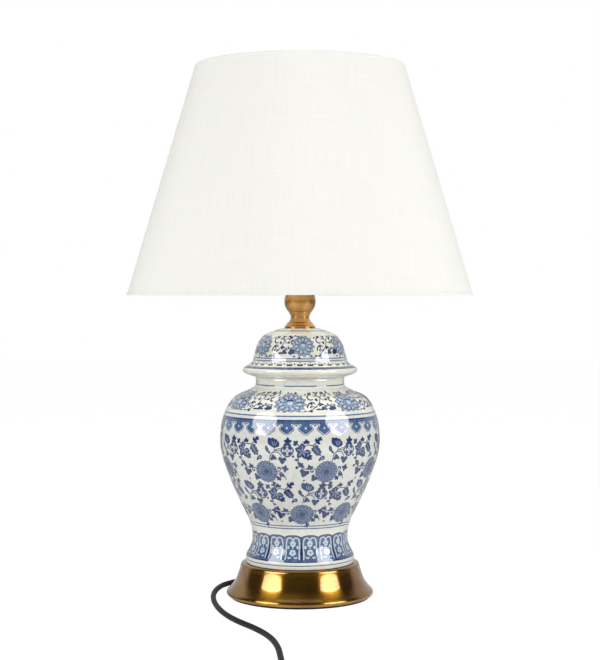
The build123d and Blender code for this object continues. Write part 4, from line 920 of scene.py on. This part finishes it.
arch = [(-7.3, -12.2), (-6.9, -4.0), (-7.4, 2.0), (-6.9, 8.0), (-5.8, 11.0), (-3.0, 11.9), (0.0, 9.2)]
panel_half = [
    ("reserve", pen(arch, 1.05, 0.05, 0.05, 22)),
    ("reserve", moved(curl(2.0, 0.8, 0.9), 0.0, 9.4, 70.0, flip=True)),
    ("reserve", moved(leaf(3.4, 2.0), -6.4, 0.2, -58.0)),
    ("reserve", moved(leaf(3.0, 1.8), -6.4, 3.0, -118.0)),
    ("reserve", pen([(-4.8, -8.6), (-3.4, -10.4), (-1.6, -8.8)], 1.1, rows=8)),
]
panel = (
    panel_half
    + group(panel_half, flip=True)
    + [
        ("reserve", ring_of(leaf(3.5, 2.5, belly=0.6), 5, 0.0) + (0.0, 5.2)),
        ("reserve", ring_of(leaf(3.8, 2.8, belly=0.6), 5, 180.0) + (0.0, -4.2)),
        ("reserve", pen([(0.0, -0.6), (0.0, 2.4)], 0.8, rows=5)),
    ]
)
panel_hearts = [("blue", disc(0.8)[None] + (0.0, 5.2)), ("blue", disc(0.9)[None] + (0.0, -4.2))]


def panel_tops(angle):
    """The panels' scalloped tops: a low arch over each, notched between."""
    return 73.8 - 2.2 * np.abs(rhythm(angle, panel_count, panel_start) * 2.0) ** 3


def panel_brims(angle):
    return panel_tops(angle) + 1.0


jar_painting.band("dusk", 46.9, panel_tops)
jar_painting.band("ink", panel_tops, panel_brims)
jar_painting.band("ink", 46.2, 47.5)
upward = np.linspace(-12.8, 12.4, 11)
sideways = np.linspace(-7.2, 7.2, 7)
dark_panel = np.stack([np.stack([sideways, 0.0 * sideways + up], -1) for up in upward])
divider = ribbon(np.stack([0.0 * upward, upward], -1), np.full(len(upward), 1.15))
every_other = panel_count // 2
jar_painting.lay([("blue", dark_panel)], panel_start, panel_middle, every_other)
jar_painting.lay([("blue", divider)], panel_start - panel_step / 2.0, panel_middle, every_other, 0.01)
jar_painting.lay(inked(divider), panel_start + panel_step / 2.0, panel_middle, every_other)
jar_painting.lay(panel, panel_start, panel_middle, panel_count)
jar_painting.lay(panel_hearts, panel_start, panel_middle, panel_count, 0.12)
jar_painting.finish()

lid_painting = Painting("lid_painting", lid_side)
lid_painting.lay(group(vine, size=0.84), 4.0, 277.0, 6)
lid_painting.lay_layers(lotus(25.4, 26.0), 4.0, 278.0, 6)
border = inked(
    moved(curl(1.6, 0.9, 1.1), 0.3, 0.6, -40.0),
    moved(curl(1.6, 0.9, 1.1), -0.3, 0.6, 40.0, flip=True),
    moved(leaf(3.0, 1.8), v=-2.6),
    moved(leaf(3.2, 1.7), 2.6, -2.0, 60.0),
    moved(leaf(3.2, 1.7), -2.6, -2.0, -60.0),
    moved(leaf(2.4, 1.5), 5.6, -0.4, 10.0),
    disc(0.7)[None] + (0.0, 2.6),
)
lid_painting.lay(border, 0.0, 257.7, 30)
for low, high, colour in (
    (292.8, 293.6, "blue"),
    (263.3, 264.4, "blue"),
    (260.8, 261.8, "blue"),
    (252.6, 253.9, "ink"),
    (253.9, 254.9, "blue"),
):
    lid_painting.band(colour, low, high)
lid_painting.finish()


# ---- shade: cloth round a cone, with a hem tape folded over each edge ----
cone_low, cone_high = 332.3, 584.7
cone_wide, cone_narrow = 191.0, 116.3
cone_slope = (cone_wide - cone_narrow) / (cone_high - cone_low)
cone_lean = math.sqrt(1.0 + cone_slope**2)
cone_open = cone_slope / cone_lean


def cone_radius(height, depth):
    """The cone's radius at a height, at a depth measured square to its side."""
    return cone_wide - (height - cone_low) * cone_slope - depth * cone_lean


def cone_sheet(name, heights, depths, angles, lift, material):
    """A closed skin on the cone: outside up, inside down. Its map is the cloth laid flat, where
    the distance from the cone's tip is kept and the angle shrinks by the sine of its half
    opening."""
    radius = cone_radius(heights, depths)[:, None] + lift[None, :]
    points = np.stack(
        [radius * np.sin(angles), -radius * np.cos(angles), heights[:, None] + 0.0 * angles], -1
    )
    row, column = corners(len(heights), len(angles), True, False)
    faces = (row % len(heights)) * len(angles) + column
    half = len(heights) // 2
    outer = np.arange(half - 1)
    caps = np.stack([outer, outer + 1, len(heights) - 2 - outer, len(heights) - 1 - outer], 1)
    ends = [caps * len(angles), caps[:, ::-1] * len(angles) + len(angles) - 1]
    flat_reach = radius / cone_open
    flat_angle = angles[None, :] * cone_open
    flat = np.stack([flat_reach * np.sin(flat_angle), flat_reach * np.cos(flat_angle)], -1)
    faces = np.concatenate([faces, *ends])
    made = build(name, points.reshape(-1, 3), faces, material)
    corner = np.zeros(len(made.data.loops), np.int32)
    made.data.loops.foreach_get("vertex_index", corner)
    cloth_map = made.data.uv_layers.new(name="cloth_flat")
    cloth_map.data.foreach_set("uv", (flat.reshape(-1, 2)[corner] * mm).astype(np.float32).ravel())
    return made


# the cloth lies under the tapes, and at the back its last end rises to lap over its first
cloth_rows = 44
cloth_out, cloth_in = 0.42, 0.92
wrap = np.radians(np.linspace(-181.2, 181.2, 367))
overlap = cloth_out * np.clip((np.degrees(wrap) - 178.2) / 0.5, 0.0, 1.0)
cloth_heights = np.linspace(cone_low + 0.5, cone_high - 0.5, cloth_rows)
shade_cloth = cone_sheet(
    "shade_cloth",
    np.concatenate([cloth_heights, cloth_heights[::-1]]),
    np.repeat([cloth_out, cloth_in], cloth_rows),
    wrap,
    overlap,
    finishes["shade_cloth"],
)
hem_out = [(0.0, 0.44), (0.05, 0.2), (0.5, 0.02), (1.4, 0.0), (2.3, 0.03), (2.75, 0.22), (2.8, 0.42)]
hem_in = [(0.42, 0.42), (0.42, 1.0), (0.42, 1.6), (0.3, 1.7), (0.05, 1.66), (0.0, 1.4), (-0.02, 0.9)]


def hem_tape(name, edge_height, inward):
    """A narrow tape turned over the shade's edge: a rounded strip outside, a lip beneath."""
    section = np.array(hem_out + hem_in)
    angles = np.radians(np.linspace(-180.0, 180.0, 361))
    heights = edge_height + inward * section[:, 0]
    return cone_sheet(name, heights, section[:, 1], angles, 0.0 * angles, finishes["shade_cloth"])


hem_low = hem_tape("hem_tape_bottom", cone_low, 1.0)
hem_high = hem_tape("hem_tape_top", cone_high, -1.0)
for piece, node_name in (
    (shade_cloth, "shade_cover"),
    (hem_low, "shade_hem_bottom"),
    (hem_high, "shade_hem_top"),
):
    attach(piece, "shade")
    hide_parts(node_name)

for piece in (lead_rear, lead_front):
    piece.data.materials.append(finishes["cord_black"])
    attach(piece, "lamp")
for piece in (jar_glaze, lid_glaze):
    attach(piece, "lamp")


# ---- studio: floor, white surround, two soft lamps and the light that comes through the shade ----
def white_floor():
    """A white table that keeps the lamp's shadow: mostly its own white where the camera looks."""
    own_white, own_share = 1.08, 0.9
    finish = Finish("white_table", {"Base Color": tint(244, 244, 243), "Roughness": 0.9})
    glow = finish.node("ShaderNodeEmission", {}, {"Strength": own_white})
    seen = finish.node("ShaderNodeLightPath", {}, {}, "Is Camera Ray") * own_share
    plain = Wire(finish, finish.shader.outputs[0])
    surface = finish.node("ShaderNodeMixShader", {}, {0: seen, 1: plain, 2: glow})
    out = next(node for node in finish.tree.nodes if node.type == "OUTPUT_MATERIAL")
    finish.tree.links.new(surface.socket, out.inputs["Surface"])
    return finish.block


table_mesh = bpy.data.meshes.new("table_top")
table_mesh.from_pydata([(-6, -6, 0), (6, -6, 0), (6, 6, 0), (-6, 6, 0)], [], [(0, 1, 2, 3)])
table_mesh.materials.append(white_floor())
table_top = bpy.data.objects.new("table_top", table_mesh)
bpy.context.scene.collection.objects.link(table_top)


def surround():
    """The white room: full white where the camera or glass looks; a soft fill for the rest, least
    from the sides and above; and for reflections, white behind the lamp and dim in front."""
    room = Finish("white_room", {"Color": (1.0, 1.0, 1.0, 1.0)}, world=True)
    way = room.node("ShaderNodeTexCoord", {}, {}, "Generated")
    ahead = room.parts(way)[1]
    back = room.spread(ahead, 0.26, 0.52, 0.04, 0.5)
    seen = room.node("ShaderNodeLightPath", {}, {}, "Is Camera Ray")
    through = room.node("ShaderNodeLightPath", {}, {}, "Is Transmission Ray")
    mirrored = room.node("ShaderNodeLightPath", {}, {}, "Is Glossy Ray")
    plain = (1.0 - seen) * (1.0 - through) * (1.0 - mirrored)
    fill = 0.12 - ahead * 0.1 + ahead * ahead * 0.5
    white = seen + through * (1.0 - seen)
    reflected = mirrored * back * (1.0 - seen) * (1.0 - through)
    room.feed("Strength", white + reflected + plain * fill)
    return room.block


bpy.context.scene.world = surround()


softbox_width = 1.06
softbox_distance = 1.6
softbox_rise = math.radians(22.0)
jar_middle = 0.22


def round_light(name, width, strength, place, turn=(0.0, 0.0, 0.0)):
    """A round lamp that the camera doesn't see; it shines downwards until it is turned."""
    light = bpy.data.lights.new(name, "AREA")
    light.shape = "DISK"
    light.size = width
    light.energy = strength
    made = bpy.data.objects.new(name, light)
    made.location = place
    made.rotation_euler = turn
    made.visible_camera = False
    bpy.context.scene.collection.objects.link(made)
    return made


def softbox(name, azimuth, strength):
    """A soft lamp at an azimuth from the front, which faces the jar's middle."""
    around = math.radians(azimuth)
    level = math.cos(softbox_rise)
    way = np.array([math.sin(around) * level, -math.cos(around) * level, math.sin(softbox_rise)])
    place = tuple(way * softbox_distance + (0.0, 0.0, jar_middle))
    round_light(name, softbox_width, strength, place, (math.pi / 2.0 - softbox_rise, 0.0, around))


softbox("left_softbox", -55.5, 15.3)
softbox("right_softbox", 58.5, 17.0)
through_shade = round_light("light_through_shade", 0.22, 0.35, (0.0, 0.0, 0.5))
through_shade.visible_glossy = False
